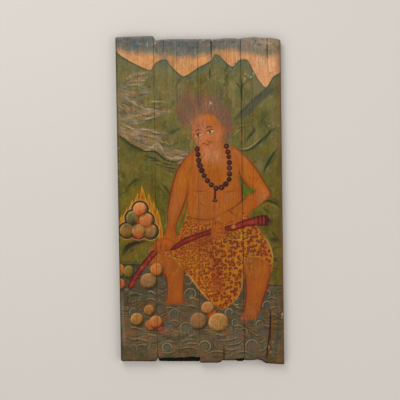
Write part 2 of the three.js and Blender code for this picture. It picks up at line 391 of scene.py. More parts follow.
GRASS = [
    ("#343c1f", 6, 0.8, [(-211, 32), (-195, 47), (-182, 59), (-162, 67)]),
    ("#3a4024", 4, 0.7, [(-205, 39), (-188, 52), (-169, 59), (-157, 59)]),
    ("#414524", 4, 0.6, [(-194, 40), (-178, 48), (-163, 50)]),
    ("#454820", 5, 0.55, [(-227, 18), (-211, 26), (-199, 34)]),
    ("#33391f", 5.5, 0.8, [(-114, 52), (-98, 39), (-85, 19), (-83, 0)]),
    ("#3c4123", 4, 0.6, [(-121, 44), (-108, 30), (-99, 11)]),
    ("#4c4426", 7, 0.5, [(-125, 59), (-118, 39), (-117, 19)]),
    ("#3d4220", 5, 0.65, [(-113, -20), (-102, -30), (-95, -43)]),
    ("#3f3f1c", 6, 0.55, [(-128, -42), (-114, -59), (-100, -72)]),
    ("#3c3f1e", 6, 0.6, [(-117, -86), (-106, -99), (-98, -113)]),
    ("#47431f", 5, 0.5, [(-135, 10), (-123, -2), (-117, -16)]),
    ("#3f4229", 8, 0.55, [(-224, 85), (-215, 77), (-213, 60)]),
    ("#373b28", 4.5, 0.75, [(145, 213), (155, 194), (139, 175), (128, 160)]),
    ("#3c4230", 4, 0.6, [(118, 203), (104, 185), (90, 168)]),
    ("#8d8a78", 3, 0.6, [(123, 206), (107, 190), (93, 174)]),
    ("#33392a", 6, 0.8, [(194, 190), (171, 164), (145, 143), (119, 136), (103, 145)]),
    ("#98917f", 3, 0.7, [(175, 175), (153, 155), (133, 144), (113, 144), (99, 150)]),
    ("#2f3622", 6, 0.85, [(216, 144), (196, 109), (181, 82), (178, 67)]),
    ("#3b4326", 4.5, 0.6, [(214, 121), (199, 101), (192, 85)]),
    ("#343b26", 5, 0.7, [(207, 203), (194, 185), (182, 163)]),
    ("#2f3320", 6, 0.8, [(169, -17), (188, -4), (214, -14), (227, -28)]),
    ("#8a6236", 3.5, 0.7, [(95, 204), (123, 209), (149, 213)]),
    ("#4a4a30", 3, 0.6, [(97, 198), (125, 203), (151, 206)]),
    ("#2f2c1a", 3.5, 0.8, [(194, -83), (208, -102), (226, -122)]),
    ("#33301c", 4.5, 0.8, [(199, -106), (208, -112), (216, -117)]),
    ("#3a3920", 4, 0.65, [(196, -142), (210, -135), (224, -134)]),
    ("#34331d", 4, 0.7, [(195, -172), (210, -166), (225, -161)]),
    ("#3c3a20", 4, 0.6, [(192, -197), (206, -193), (223, -197)]),
    ("#9a927c", 2.5, 0.6, [(189, -41), (194, -50), (201, -57)]),
    ("#34421f", 5, 0.65, [(172, -21), (184, -29), (189, -41)]),
]
TREES = [
    ("#3b3b28", 4.5, 0.8, [(31, 375), (32, 356), (31, 333)]),
    ("#4d4d38", 3.5, 0.7, [(31, 342), (41, 349), (53, 358)]),
    ("#3c3a2a", 5, 0.85, [(118, 346), (122, 327), (119, 307), (121, 285), (121, 265)]),
    ("#3c3c2a", 4, 0.8, [(103, 330), (112, 320), (119, 310)]),
    ("#3c3c2a", 3, 0.75, [(121, 315), (130, 326), (140, 335)]),
]


def paint_strokes(picture, strokes, soft=1.8, taper=(0.3, 0.35)):
    for colour, width, cover, points in strokes:
        picture.line(points, width, rgb(colour), cover, taper, soft)


def stony(picture, outline, colour, seed):
    """The broken ground of the falls: patches of warm and of grey that run slantwise"""
    found, depth = picture.area(outline, rgb(colour), 0.85, 5)
    x, y = picture.x[found], picture.y[found]
    inside = (depth / 6).clip(0, 1)
    slant = y + 0.25 * x
    warm = mottle(x, slant, 30, 7, seed).clip(0, 1)
    grey = mottle(x, slant, 22, 6, seed + 1).clip(0, 1)
    deep = mottle(x, slant, 16, 5, seed + 2).clip(0, 1)
    picture.lay(found, inside * warm * 0.7, rgb("#987250"))
    picture.lay(found, inside * grey * 0.7, rgb("#85796a"))
    picture.lay(found, inside * deep * 0.55, rgb("#5f563d"))


def flow(picture, upper, lower, number, seed):
    """Brush strokes that run with the water, between the upper and the lower bank of a fall"""
    dice = np.random.default_rng(seed)
    banks = [np.array(bank, float) for bank in (upper, lower)]
    for count in range(number):
        share, start, length = dice.uniform(0.02, 0.98), dice.uniform(-0.05, 0.95), dice.uniform(0.06, 0.24)
        points = []
        for at in np.linspace(start, start + length, 4).clip(0, 1):
            above, below = (
                [np.interp(at * (len(bank) - 1), range(len(bank)), bank[:, axis]) for axis in (0, 1)]
                for bank in banks
            )
            level = share + dice.uniform(-0.05, 0.05)
            points.append(np.array(above) * (1 - level) + np.array(below) * level)
        colour = ("#b8a381", "#3f3a2b", "#8f8678", "#7c5730", "#a98d68", "#474a42")[count % 6]
        picture.line(points, dice.uniform(1.2, 3.4), rgb(colour), dice.uniform(0.45, 0.9), (0.4, 0.4), 1.3)


def paint_falls(picture):
    stony(picture, FALLS[0], "#7c6b4a", 31)
    stony(picture, FALLS[1], "#75694a", 35)
    paint_strokes(picture, FALL_STREAKS)
    stony(picture, CASCADE, "#806a4c", 39)
    for upper, lower, number, seed in BANKS:
        flow(picture, upper, lower, number, seed)
    paint_strokes(picture, CASCADE_STREAKS)
    picture.line(CASCADE_FOOT, 4.5, rgb("#33331f"), 0.9, (0.05, 0.2), 2)
    paint_strokes(picture, CASCADE_SHADE, 2.2)
    paint_strokes(picture, GROUND, 5)
    paint_strokes(picture, GRASS, 2.4)
    paint_strokes(picture, TREES, 2)


# The water round the legs
WATER_EDGE = [(-256, -178), (-222, -177), (-186, -177), (-144, -179), (-93, -177), (-51, -179),
    (10, -190), (66, -205), (113, -222), (153, -233), (180, -239), (231, -242)]
WATER_TONES = [  # place, reach, colour, cover
    ((-201, -265), 34, "#3f3a27", 0.75),
    ((-145, -269), 28, "#4d4331", 0.6),
    ((-41, -251), 22, "#4f4732", 0.6),
    ((-25, -287), 26, "#5a4a32", 0.6),
    ((18, -268), 22, "#4b4a38", 0.6),
    ((-90, -340), 42, "#604e3b", 0.7),
    ((-188, -372), 34, "#664f36", 0.7),
    ((-146, -372), 28, "#6a5c47", 0.6),
    ((-105, -395), 40, "#6d5c42", 0.6),
    ((-29, -402), 44, "#665a42", 0.7),
    ((-175, -422), 26, "#54472c", 0.6),
    ((72, -404), 44, "#5e564a", 0.7),
    ((122, -374), 34, "#5a4f3c", 0.6),
    ((101, -342), 30, "#57503f", 0.6),
    ((208, -282), 34, "#4b4532", 0.7),
    ((191, -316), 28, "#5a4734", 0.6),
    ((206, -400), 26, "#57503f", 0.6),
    ((167, -399), 30, "#64583f", 0.5),
    ((-46, -424), 26, "#6c5236", 0.5),
    ((35, -426), 26, "#5f4c33", 0.6),
]
CURLS = [  # middle, radius, start angle in degrees, turns (below nought turns clockwise), strength
    ((-39, -223), 16, 200, -1.5, 1.0), ((-30, -262), 17, 190, -1.2, 0.9),
    ((97, -282), 12, 330, -1.15, 0.9), ((77, -314), 12, 240, -1.2, 1.0),
    ((94, -341), 11, 260, -0.8, 0.8), ((184, -264), 11, 200, -1.1, 0.8),
    ((185, -296), 15, 215, -0.7, 1.0), ((162, -348), 12, 240, -0.9, 0.8),
    ((8, -410), 18, 190, -1.3, 1.0), ((-101, -411), 15, 330, 1.2, 0.9),
    ((142, -409), 21, 200, -0.75, 1.0), ((117, -371), 13, 150, -0.8, 0.8),
    ((-47, -359), 19, 20, 1.1, 0.6), ((-74, -317), 18, 200, -0.6, 0.7),
    ((-189, -310), 14, 210, -0.7, 0.7), ((-141, -266), 16, 140, -0.5, 0.7),
    ((206, -408), 14, 100, 0.6, 0.6), ((-29, -369), 11, 120, 1.0, 0.6),
    ((-196, -410), 13, 300, 0.9, 0.6), ((-158, -403), 12, 60, -0.8, 0.5),
    ((55, -401), 12, 160, -0.6, 0.4),
]
WAVES = [  # long waves of the foreground, each drawn as a pale line over a dark one
    [(-54, -405), (-35, -399), (-15, -401), (-4, -408)],
    [(-74, -418), (-55, -412), (-35, -410), (-13, -416)],
    [(-68, -402), (-51, -392), (-32, -388), (-9, -394)],
    [(38, -389), (66, -392), (94, -386), (108, -373)],
    [(60, -404), (83, -405), (105, -399), (117, -385)],
    [(57, -415), (80, -419), (105, -413)],
    [(30, -372), (55, -378), (80, -374)],
    [(128, -362), (139, -371), (153, -380), (167, -377)],
    [(150, -424), (167, -422), (181, -411), (187, -394)],
    [(153, -394), (167, -399), (178, -388)],
    [(94, -429), (111, -424), (133, -428)],
    [(7, -434), (29, -423), (54, -424), (77, -432)],
    [(-211, -360), (-194, -352), (-174, -357), (-155, -364)],
    [(-160, -378), (-141, -374), (-124, -383)],
    [(-208, -391), (-186, -384), (-161, -389), (-136, -398)],
    [(-195, -408), (-172, -401), (-147, -406)],
    [(-122, -406), (-110, -395), (-91, -393), (-74, -399)],
    [(-119, -423), (-97, -426), (-74, -421)],
    [(180, -279), (197, -274), (216, -281)],
    [(185, -310), (199, -301), (216, -306)],
    [(179, -330), (196, -321), (216, -330)],
    [(184, -349), (201, -343), (218, -350)],
    [(-156, -257), (-139, -254), (-122, -266)],
    [(-162, -280), (-142, -272), (-123, -285)],
    [(-201, -285), (-184, -274), (-167, -280)],
    [(-44, -279), (-25, -273), (-5, -284)],
    [(-50, -298), (-30, -293), (-8, -302)],
    [(-5, -268), (9, -260), (20, -271)],
    [(-112, -303), (-89, -298), (-64, -305)],
    [(-98, -340), (-79, -334), (-59, -343)],
    [(-93, -356), (-76, -365), (-57, -368)],
    [(79, -289), (96, -298), (109, -309)],
    [(81, -356), (100, -351), (123, -357)],
    [(195, -422), (206, -431), (217, -423)],
]
BROWN_RUN = [(191, -291), (197, -327), (195, -366), (191, -400), (187, -428), (187, -453)]
LEFT_SLIDE = [(-226, -242), (-223, -276), (-223, -327), (-219, -377), (-217, -422)]


def paint_water(picture):
    edge = curve(WATER_EDGE)
    found = picture.near(np.array([(-240, -470), (240, -165)]), 0)
    x, y = picture.x[found], picture.y[found]
    depth = np.interp(x, edge[:, 0], edge[:, 1]) - y
    shown = (depth / 1.6 + 0.5).clip(0, 1)
    deep = (depth / 190).clip(0, 1)[:, None]
    tone = rgb("#453f30") + deep * (rgb("#604f37") - rgb("#453f30"))
    picture.lay(found, shown, tone + cloud(x, y, 26, 51, 0.5)[:, None] * 0.035)
    for centre, reach, colour, cover in WATER_TONES:
        inside = found[depth > 0]
        dx, dy = picture.x[inside] - centre[0], picture.y[inside] - centre[1]
        picture.lay(inside, cover * np.exp(-(dx**2 + dy**2) / reach**2), rgb(colour))
    for seed, colour in ((56, "#6a4a36"), (57, "#4f564c"), (58, "#7a5038"), (59, "#3f3a28")):
        patch = (mottle(x, y, 24, 11, seed) + 0.5 * mottle(x, y, 8, 5, seed + 10) - 0.25).clip(0, 0.6)
        picture.lay(found, patch * shown, rgb(colour))
    # Fine ripples follow a slow swell, and turn into rings round every curl
    swell = y + 18 * mottle(x, y, 64, 46, 53) + 8 * mottle(x, y, 27, 22, 54)
    phase, calm = swell / 6.2, np.ones(len(x))
    for (cx, cy), radius, start, turns, strength in CURLS:
        away = np.hypot(x - cx, y - cy)
        bearing = np.arctan2(y - cy, x - cx) / 6.283 * np.sign(turns)
        share = ((1.25 * radius - away) / (0.3 * radius)).clip(0, 1) * strength
        phase = np.where(share > 0.3, away / 5.2 - bearing, phase)
        calm = np.minimum(calm, 1 - 0.5 * share)
        picture.lay(found, share * 0.35 * (away < 0.7 * radius) * shown, rgb("#4b5450"))
    strength = (0.55 + 0.6 * mottle(x, y, 26, 16, 55)).clip(0.1, 1) * shown * calm
    wave = np.cos(6.283 * phase)
    picture.lay(found, (-wave).clip(0, 1) ** 2 * 0.5 * strength, rgb("#2f2a1b"))
    picture.lay(found, wave.clip(0, 1) ** 4 * 0.5 * strength, rgb("#877b5e"))
    picture.line(WATER_EDGE, 3, rgb("#2a2517"), 0.6, (0, 0), 1.6)
    for wave in WAVES:
        picture.line(np.subtract(wave, (0, 3.4)), 3, rgb("#332d1d"), 0.55, (0.3, 0.3), 1.8)
        picture.line(wave, 2.8, rgb("#8f8364"), 0.6, (0.3, 0.3), 1.6)
    for (cx, cy), radius, start, turns, strength in CURLS:
        angle = np.radians(start + 360 * turns * np.linspace(0, 1, 14))
        shrink = radius * np.linspace(1.05, 0.4, 14)
        for inward, width, colour, cover in ((-3.4, 2.6, "#353527", 0.4), (3.4, 2.8, "#2f3026", 0.6),
            (0, 3, "#998c6e", 0.7)):
            spiral = np.stack([cx + (shrink - inward) * np.cos(angle),
                cy + (shrink - inward) * np.sin(angle)], 1)
            picture.line(spiral, width, rgb(colour), cover * strength, (0.15, 0.5), 1.6)
    dice = np.random.default_rng(52)
    for _ in range(130):  # short upright strokes of foam and weed on the left
        left, low = dice.uniform(-225, -120), dice.uniform(-350, -262)
        lean, tall = dice.uniform(-3, 3), dice.uniform(5, 14)
        colour = ("#8d8270", "#2b2a1c", "#6f6a58", "#35402c")[dice.integers(4)]
        reach = 0.5 * (1 - abs(low + 300) / 60)
        stroke = [(left, low), (left + lean, low + tall / 2), (left + 2 * lean, low + tall)]
        picture.line(stroke, dice.uniform(1.2, 2.4), rgb(colour), reach, (0.4, 0.4), 1.3)
    picture.line(BROWN_RUN, 9, rgb("#6b4420"), 0.85, (0.3, 0.1), 4)
    picture.line(np.add(BROWN_RUN, (-6, 0)), 4, rgb("#1f160c"), 0.75, (0.3, 0.1), 2)
    picture.line(np.add(BROWN_RUN, (18, 4)), 5, rgb("#3a3a32"), 0.6, (0.3, 0.1), 3)
    picture.line(LEFT_SLIDE, 9, rgb("#776a58"), 0.5, (0.1, 0.2), 5)


# Jewels: middle, radius, height over width, colour, rim colour and how strongly the rim shows
HEAP = [
    ((-207, -81), 19, 1.0, "#80582a", "#b89a6c", 0.7),
    ((-141, -84), 19, 1.0, "#8a6438", "#b89a6c", 0.6),
    ((-174, -83), 19, 1.0, "#a4602f", "#c49a6a", 0.7),
    ((-189, -46), 19, 1.0, "#64552e", "#b09a70", 0.7),
    ((-152, -53), 19, 1.0, "#aa6638", "#c8a070", 0.7),
    ((-169, -22), 18.5, 1.0, "#b26d40", "#cf9f6e", 0.8),
]
FRONT_JEWEL = [((-125, -192), 18, 1.0, "#a2602c", "#c08548", 0.6)]
HEAP_BLUSHES = [
    ((-173, -58), 9, "#ac4a1c", 0.9), ((-179, -33), 9, "#c07a4a", 0.5), ((-170, -34), 10, "#ad4a18", 0.75),
    ((-145, -70), 10, "#ae4c20", 0.8), ((-164, -78), 9, "#8f7a34", 0.6), ((-188, -60), 12, "#2c2b26", 0.75),
    ((-209, -68), 9, "#454a34", 0.7), ((-184, -76), 7, "#4f5628", 0.6), ((-199, -52), 9, "#5b5534", 0.5),
    ((-218, -98), 9, "#5a5222", 0.6), ((-200, -97), 9, "#5c3f1c", 0.7), ((-212, -84), 8, "#8a5c2c", 0.5),
    ((-176, -100), 9, "#b83f14", 0.85), ((-165, -96), 8, "#a0521c", 0.6), ((-176, -78), 8, "#b8764c", 0.6),
    ((-148, -98), 9, "#6c4a1c", 0.6), ((-137, -93), 9, "#6b6038", 0.6), ((-143, -78), 8, "#a37a44", 0.5),
    ((-154, -62), 7, "#b95a2a", 0.6), ((-192, -64), 8, "#3c3a26", 0.6), ((-165, -16), 9, "#c58e62", 0.5),
]
LOWER_JEWELS = [
    ((-228, -193), 14, 1.3, "#a95f28", "#d29a5c", 0.6),
    ((-230, -231), 16, 1.0, "#a5562c", "#d09a68", 0.7),
    ((-204, -197), 14, 1.25, "#6e5a26", "#b29556", 0.7),
    ((-148, -223), 23, 0.95, "#84613a", "#b89462", 0.6),
    ((-147, -305), 15, 1.0, "#8a5c2c", "#b48b55", 0.7),
    ((-125, -350), 16, 0.9, "#8f4c35", "#a5603e", 0.4),
    ((-143, -347), 16, 1.0, "#93502e", "#b88252", 0.4),
    ((-182, -330), 18, 0.98, "#8f6030", "#c09a66", 0.8),
    ((-129, -338), 18, 0.98, "#9c5a2e", "#c59a68", 0.7),
    ((-11, -338), 24, 0.98, "#7c5a3a", "#a98556", 0.5),
    ((28, -318), 13, 1.0, "#a9541f", "#b56a34", 0.3),
    ((16, -301), 17.5, 1.0, "#a0683a", "#caa06c", 0.7),
    ((46, -342), 29, 0.9, "#986c3c", "#c69f6c", 0.7),
]
JEWEL_BLUSHES = [
    ((-118, -359), 10, "#a04a38", 0.7), ((-121, -336), 10, "#b06a30", 0.6),
    ((-146, -344), 12, "#985238", 0.5),
    ((-104, -362), 10, "#9a4a3a", 0.6), ((9, -299), 9, "#ad6a30", 0.6), ((28, -297), 9, "#a9783a", 0.6),
    ((25, -319), 9, "#b5501c", 0.7), ((39, -339), 13, "#ab7c44", 0.5), ((64, -353), 13, "#9d6638", 0.5),
    ((30, -367), 14, "#82702f", 0.5), ((-152, -213), 12, "#9f6440", 0.5), ((-164, -232), 12, "#8a5c3c", 0.5),
    ((-17, -338), 14, "#8e5c34", 0.5), ((-223, -234), 9, "#b5482a", 0.6), ((-179, -327), 10, "#a06a30", 0.6),
    ((61, -376), 12, "#8a5238", 0.4), ((-74, -371), 9, "#9a6238", 0.5), ((-200, -369), 12, "#8f6536", 0.4),
]
FLAMES = [  # tip, foot and width of each tongue round the heap
    ((-160, 44), (-162, -14), 16), ((-178, 24), (-180, -25), 12), ((-142, 22), (-143, -25), 12),
    ((-193, 5), (-198, -44), 12), ((-130, 1), (-129, -48), 12), ((-208, -14), (-215, -69), 12),
    ((-119, -20), (-118, -76), 12), ((-112, -45), (-113, -104), 11), ((-223, -35), (-228, -88), 11),
    ((-169, 13), (-172, -16), 8), ((-151, 10), (-152, -17), 8), ((-106, -71), (-113, -115), 8),
    ((-189, -13), (-190, -39), 8), ((-136, -20), (-136, -48), 8), ((-230, -62), (-232, -108), 8),
]
CLOVER = [(-169, -22), (-189, -46), (-152, -53), (-207, -81), (-174, -83), (-141, -84)]
CLOVER_REACH = 22.5

FLAME_BODY = [(-226, -47), (-221, -30), (-214, -15), (-204, 4), (-195, 17), (-185, 30), (-172, 38),
              (-161, 54), (-147, 36), (-138, 24), (-130, 7), (-120, -17), (-112, -43), (-108, -74),
              (-112, -105), (-129, -117), (-171, -108), (-216, -119), (-233, -102)]


def paint_jewels(picture, jewels, blushes):
    for centre, radius, squash, colour, rim, shown in jewels:
        picture.spot(np.add(centre, (1.5, -2)), radius + 1, rgb("#2c2214"), 0.5, 6, squash)
        found = picture.near(np.array([centre, centre]), radius * max(1, squash) + 2)
        dx, dy = picture.x[found] - centre[0], (picture.y[found] - centre[1]) / squash
        seed = int(radius * 10 + abs(centre[0]))
        away = np.hypot(dx, dy) / radius * (1 + 0.03 * mottle(dx, dy, radius, radius, seed))
        up = (dy - 0.6 * dx) / radius / 1.17
        body = ((1 - away) * radius / 1.5 + 0.5).clip(0, 1)
        worn_off = (0.5 * mottle(dx, dy, 6, 6, seed + 1) - 0.9 * up - 0.55).clip(0, 0.5)
        worn_off = worn_off * (away / 0.8).clip(0, 1)
        glow = 0.1 * (0.4 - away.clip(0, 1)[:, None] ** 2) * rgb(rim)
        shading = rgb(colour) * (1 + 0.16 * up[:, None]) + glow
        shading = shading + 0.04 * mottle(dx, dy, 5, 5, seed + 2)[:, None] * np.array([1.2, 0.8, 0.4])
        picture.lay(found, body * (1 - worn_off), shading)
        edge = np.exp(-(((away - 0.87) / 0.09) ** 2)) * (0.5 + 0.8 * up).clip(0, 1)
        broken = (0.6 + 0.6 * mottle(dx, dy, 8, 8, seed + 3)).clip(0, 1)
        edge += 0.35 * np.exp(-(((away - 0.58) / 0.07) ** 2)) * broken
        picture.lay(found, edge * shown * body, rgb(rim))
        under = np.exp(-(((away - 0.95) / 0.1) ** 2)) * (0.2 - 0.8 * up).clip(0, 0.8)
        picture.lay(found, under * (away < 1.05), rgb("#3c2814"))
    for centre, reach, colour, cover in blushes:
        gap = min(np.hypot(centre[0] - c[0], centre[1] - c[1]) for c, *_ in jewels)
        if gap < 60:
            picture.glow(centre, reach * 0.8, rgb(colour), cover)


def tongue(picture, tip, foot, width):
    """One upright tongue of flame: gold along its rim, with a darker middle"""
    tip, foot = np.array(tip, float), np.array(foot, float)
    along = foot - tip
    side = np.array([along[1], -along[0]]) / np.hypot(*along) * width / 2
    curl = side * 0.6 * np.sign(tip[0] + 163)
    outline = [tip + curl, tip + along * 0.25 + side * 0.4 + curl * 0.4, tip + along * 0.6 + side,
        foot + side * 0.8,
               foot - side * 0.8, tip + along * 0.6 - side, tip + along * 0.25 - side * 0.5 + curl * 0.4]
    picture.area(outline, rgb("#3f3612"), 0.8, 4.5)
    picture.area(outline, rgb("#99560f"), 1, 1.4, (rgb("#d39e22"), 1.9, 1.0))
    core = [tip + curl * 0.5 + along * (0.25 + 0.1 * step) for step in range(7)]
    picture.line(core, width * 0.3, rgb("#a84f16"), 0.5, (0.5, 0.3), 1.8)


def paint_flames(picture):
    picture.area(FLAME_BODY, rgb("#6f5a1a"), 0.85, 7)
    for tip, foot, width in reversed(FLAMES):
        tongue(picture, tip, foot, width)
    for centre in CLOVER:
        picture.spot(centre, CLOVER_REACH + 4, rgb("#b9975c"), 0.8, 1.6)
    for centre in CLOVER:
        picture.spot(centre, CLOVER_REACH + 1.9, rgb("#2b1d10"), 1, 1.5)
    for centre in CLOVER:
        picture.spot(centre, CLOVER_REACH - 1.9, rgb("#8a6a3c"), 1, 1.5)
    paint_jewels(picture, HEAP, HEAP_BLUSHES)


# The guardian
HAIR = [(-27, 211), (-37, 207), (-47, 209), (-53, 230), (-62, 254), (-63, 279), (-55, 291), (-41, 287),
    (-27, 294), (-13, 287), (-2, 292), (12, 288), (23, 296), (37, 289), (51, 287), (63, 276), (72, 261),
    (83, 257), (89, 239), (93, 218), (92, 195), (87, 174), (79, 163), (69, 172), (64, 199), (50, 220),
    (31, 231), (8, 237), (-11, 230)]
LOCKS = [  # tip, root, width and colour
    ((-38, 340), (-33, 273), 12, "#7a5040"), ((-23, 327), (-18, 270), 8, "#7b4d3e"),
    ((3, 348), (2, 270), 9, "#7a4c38"), ((23, 334), (23, 272), 6, "#7a4f3e"),
    ((32, 336), (31, 280), 6, "#645648"), ((53, 325), (45, 269), 8, "#665848"),
    ((61, 319), (55, 263), 7, "#625443"), ((76, 273), (64, 235), 8, "#75503f"),
    ((-54, 315), (-49, 265), 9, "#6e5847"), ((-61, 298), (-55, 248), 8, "#735441"),
    ((86, 263), (79, 218), 8, "#70503e"), ((-46, 326), (-42, 276), 6, "#6c5a46"),
    ((-10, 314), (-8, 270), 6, "#6f5643"), ((14, 314), (14, 269), 7, "#6e5846"),
    ((42, 314), (40, 269), 6, "#6f5344"), ((68, 297), (59, 252), 7, "#6b5644"),
    ((92, 235), (83, 195), 7, "#6d5142"), ((-64, 270), (-56, 226), 7, "#71543f"),
]
HAIR_TONES = [
    ((26, 272), 12, "#9a6547", 0.7), ((27, 258), 9, "#a87250", 0.6), ((42, 247), 14, "#8a5d45", 0.5),
    ((61, 238), 10, "#8f5f48", 0.5), ((64, 218), 12, "#6c5048", 0.7), ((80, 196), 12, "#77523e", 0.7),
    ((-30, 270), 12, "#66564a", 0.6), ((-50, 270), 10, "#6c6238", 0.55), ((-11, 258), 14, "#77503f", 0.6),
    ((-42, 225), 12, "#735242", 0.6), ((17, 244), 10, "#6b5446", 0.5), ((-5, 281), 10, "#78584a", 0.5),
    ((36, 233), 8, "#5f5550", 0.5), ((78, 226), 9, "#715140", 0.5),
]
TORSO = [(-8, 148), (-24, 134), (-33, 117), (-33, 70), (-37, 35), (-41, 0), (-49, -31), (-55, -57),
    (-16, -68), (26, -67), (68, -62), (102, -54), (115, -26), (116, 19), (112, 45), (108, 68), (113, 101),
    (107, 131), (91, 148), (70, 161), (15, 159)]
LEFT_ARM = [(-20, 137), (-34, 127), (-45, 115), (-58, 95), (-68, 73), (-77, 45), (-83, 17), (-89, -13),
    (-93, -43), (-96, -76), (-103, -96), (-119, -110), (-136, -123), (-143, -136), (-136, -144),
    (-119, -145), (-100, -141), (-81, -135), (-67, -120), (-64, -102), (-71, -85), (-68, -64), (-56, -35),
    (-46, -10), (-37, 18), (-29, 61), (-18, 105)]
RIGHT_ARM = [(91, 151), (109, 138), (126, 123), (141, 108), (156, 89), (167, 71), (179, 51), (191, 31),
    (197, 17), (191, 6), (173, -9), (154, -24), (141, -36), (126, -52), (105, -61), (82, -66), (60, -63),
    (49, -48), (66, -35), (91, -24), (120, -1), (139, 15), (155, 25), (141, 35), (125, 51), (114, 68),
    (108, 97), (98, 125)]
ARM_GAP = [(112, 66), (120, 52), (131, 39), (142, 29), (153, 22), (139, 14), (127, 9), (118, 21), (115, 42)]
SIDE_GAP = [(-36, 5), (-40, -16), (-48, -36), (-56, -57), (-65, -78), (-69, -94), (-65, -96), (-57, -81),
    (-48, -62), (-41, -38), (-35, -16)]
LEFT_LEG = [(-143, -169), (-138, -154), (-115, -145), (-87, -145), (-65, -158), (-51, -174), (-48, -195),
    (-49, -223), (-51, -256), (-53, -288), (-75, -290), (-98, -289), (-97, -267), (-96, -239),
    (-99, -214), (-113, -195), (-134, -184)]
RIGHT_LEG = [(118, -172), (120, -155), (140, -141), (171, -142), (191, -156), (195, -187), (192, -215),
    (183, -246), (173, -274), (164, -301), (155, -325), (148, -336), (129, -338), (108, -335),
    (111, -325), (118, -309), (123, -285), (125, -259), (124, -231), (120, -200)]
CLOTH = [(-48, -60), (-41, -45), (-37, -29), (-29, -37), (-21, -54), (-10, -62), (15, -63), (43, -60),
    (77, -49), (99, -32), (125, -35), (143, -53), (156, -72), (171, -94), (186, -118), (196, -142),
    (200, -170), (197, -204), (189, -184), (173, -169), (155, -161), (135, -162), (122, -168),
    (118, -186), (116, -214), (113, -242), (102, -270), (84, -290), (65, -304), (49, -303), (33, -292),
    (16, -278), (-1, -260), (-17, -239), (-31, -222), (-46, -200), (-62, -179), (-79, -162), (-98, -153),
    (-119, -155), (-142, -158), (-121, -146), (-98, -137), (-76, -127), (-66, -112), (-61, -89)]
STAFF_RIGHT = [(188, -47), (171, -45), (150, -49), (123, -57), (100, -65), (79, -72), (67, -77),
    (69, -84), (86, -86), (110, -81), (134, -74), (162, -72), (186, -72)]
STAFF_MIDDLE = [(41, -78), (18, -84), (-8, -92), (-36, -101), (-59, -113), (-76, -126), (-86, -138),
    (-74, -137), (-53, -126), (-28, -115), (0, -104), (23, -96), (41, -94)]
STAFF_LOWER = [(-130, -138), (-123, -148), (-138, -164), (-153, -182), (-168, -201), (-181, -221),
    (-191, -240), (-199, -244), (-206, -237), (-196, -216), (-183, -197), (-169, -177), (-153, -158),
    (-142, -144)]
FISTS = [[(32, -68), (46, -60), (58, -63), (67, -75), (68, -89), (64, -102), (51, -112), (38, -111),
    (30, -98), (29, -81)],
         [(-122, -110), (-102, -103), (-84, -107), (-74, -119), (-81, -131), (-98, -139), (-118, -145),
         (-132, -137), (-133, -123)]]
FLESH_TONES = [  # place, reach, colour, cover
    ((40, 140), 34, "#b16a42", 0.7), ((26, 112), 26, "#b06a3c", 0.6), ((62, 106), 22, "#ab673c", 0.6),
    ((-10, 107), 24, "#a35d28", 0.6), ((39, 79), 26, "#9c5518", 0.7), ((39, 56), 18, "#94500f", 0.6),
    ((-11, 51), 26, "#a45a28", 0.6), ((-23, 29), 18, "#9a5413", 0.5), ((8, 17), 26, "#9e5a30", 0.6),
    ((72, 11), 24, "#a25c2e", 0.6), ((95, 44), 14, "#a65f10", 0.7), ((101, 83), 18, "#9c5914", 0.7),
    ((13, -11), 26, "#9d5729", 0.6), ((-15, -27), 20, "#a05a22", 0.5), ((32, -39), 26, "#935029", 0.6),
    ((-36, 68), 18, "#a35f14", 0.7), ((-51, 46), 22, "#a56126", 0.7), ((-62, 2), 22, "#a5602d", 0.6),
    ((-80, -21), 20, "#9e5a33", 0.6), ((-80, -77), 20, "#954a1c", 0.7), ((-98, -110), 18, "#96501c", 0.6),
    ((102, 134), 18, "#a56138", 0.7), ((124, 116), 18, "#a5603a", 0.7), ((140, 77), 24, "#aa5f22", 0.7),
    ((162, 43), 22, "#a65e22", 0.7), ((173, 15), 20, "#a4603a", 0.7), ((145, -1), 18, "#a05226", 0.6),
    ((111, -29), 20, "#a0560e", 0.6), ((77, -34), 18, "#9c570f", 0.6), ((89, -6), 18, "#a05c24", 0.6),
    ((-46, -32), 10, "#a8660f", 0.6), ((-2, -61), 16, "#8a4c1c", 0.5), ((123, 27), 10, "#8a5a12", 0.6),
    ((60, -84), 12, "#94500e", 0.6), ((54, -107), 12, "#9a540c", 0.5),
    ((-93, -183), 22, "#925226", 0.6), ((-83, -233), 20, "#965022", 0.6), ((-66, -262), 12, "#9a5612", 0.8),
    ((-100, -267), 18, "#8f5228", 0.6), ((142, -197), 22, "#9b5618", 0.6), ((170, -198), 14, "#a05c0e", 0.7),
    ((133, -253), 20, "#98522a", 0.6), ((158, -248), 14, "#9e560e", 0.7), ((126, -292), 18, "#96552e", 0.6),
    ((115, -326), 14, "#a0604a", 0.7), ((140, -321), 12, "#9a5a34", 0.6), ((-65, -200), 12, "#9c5a1c", 0.5),
]
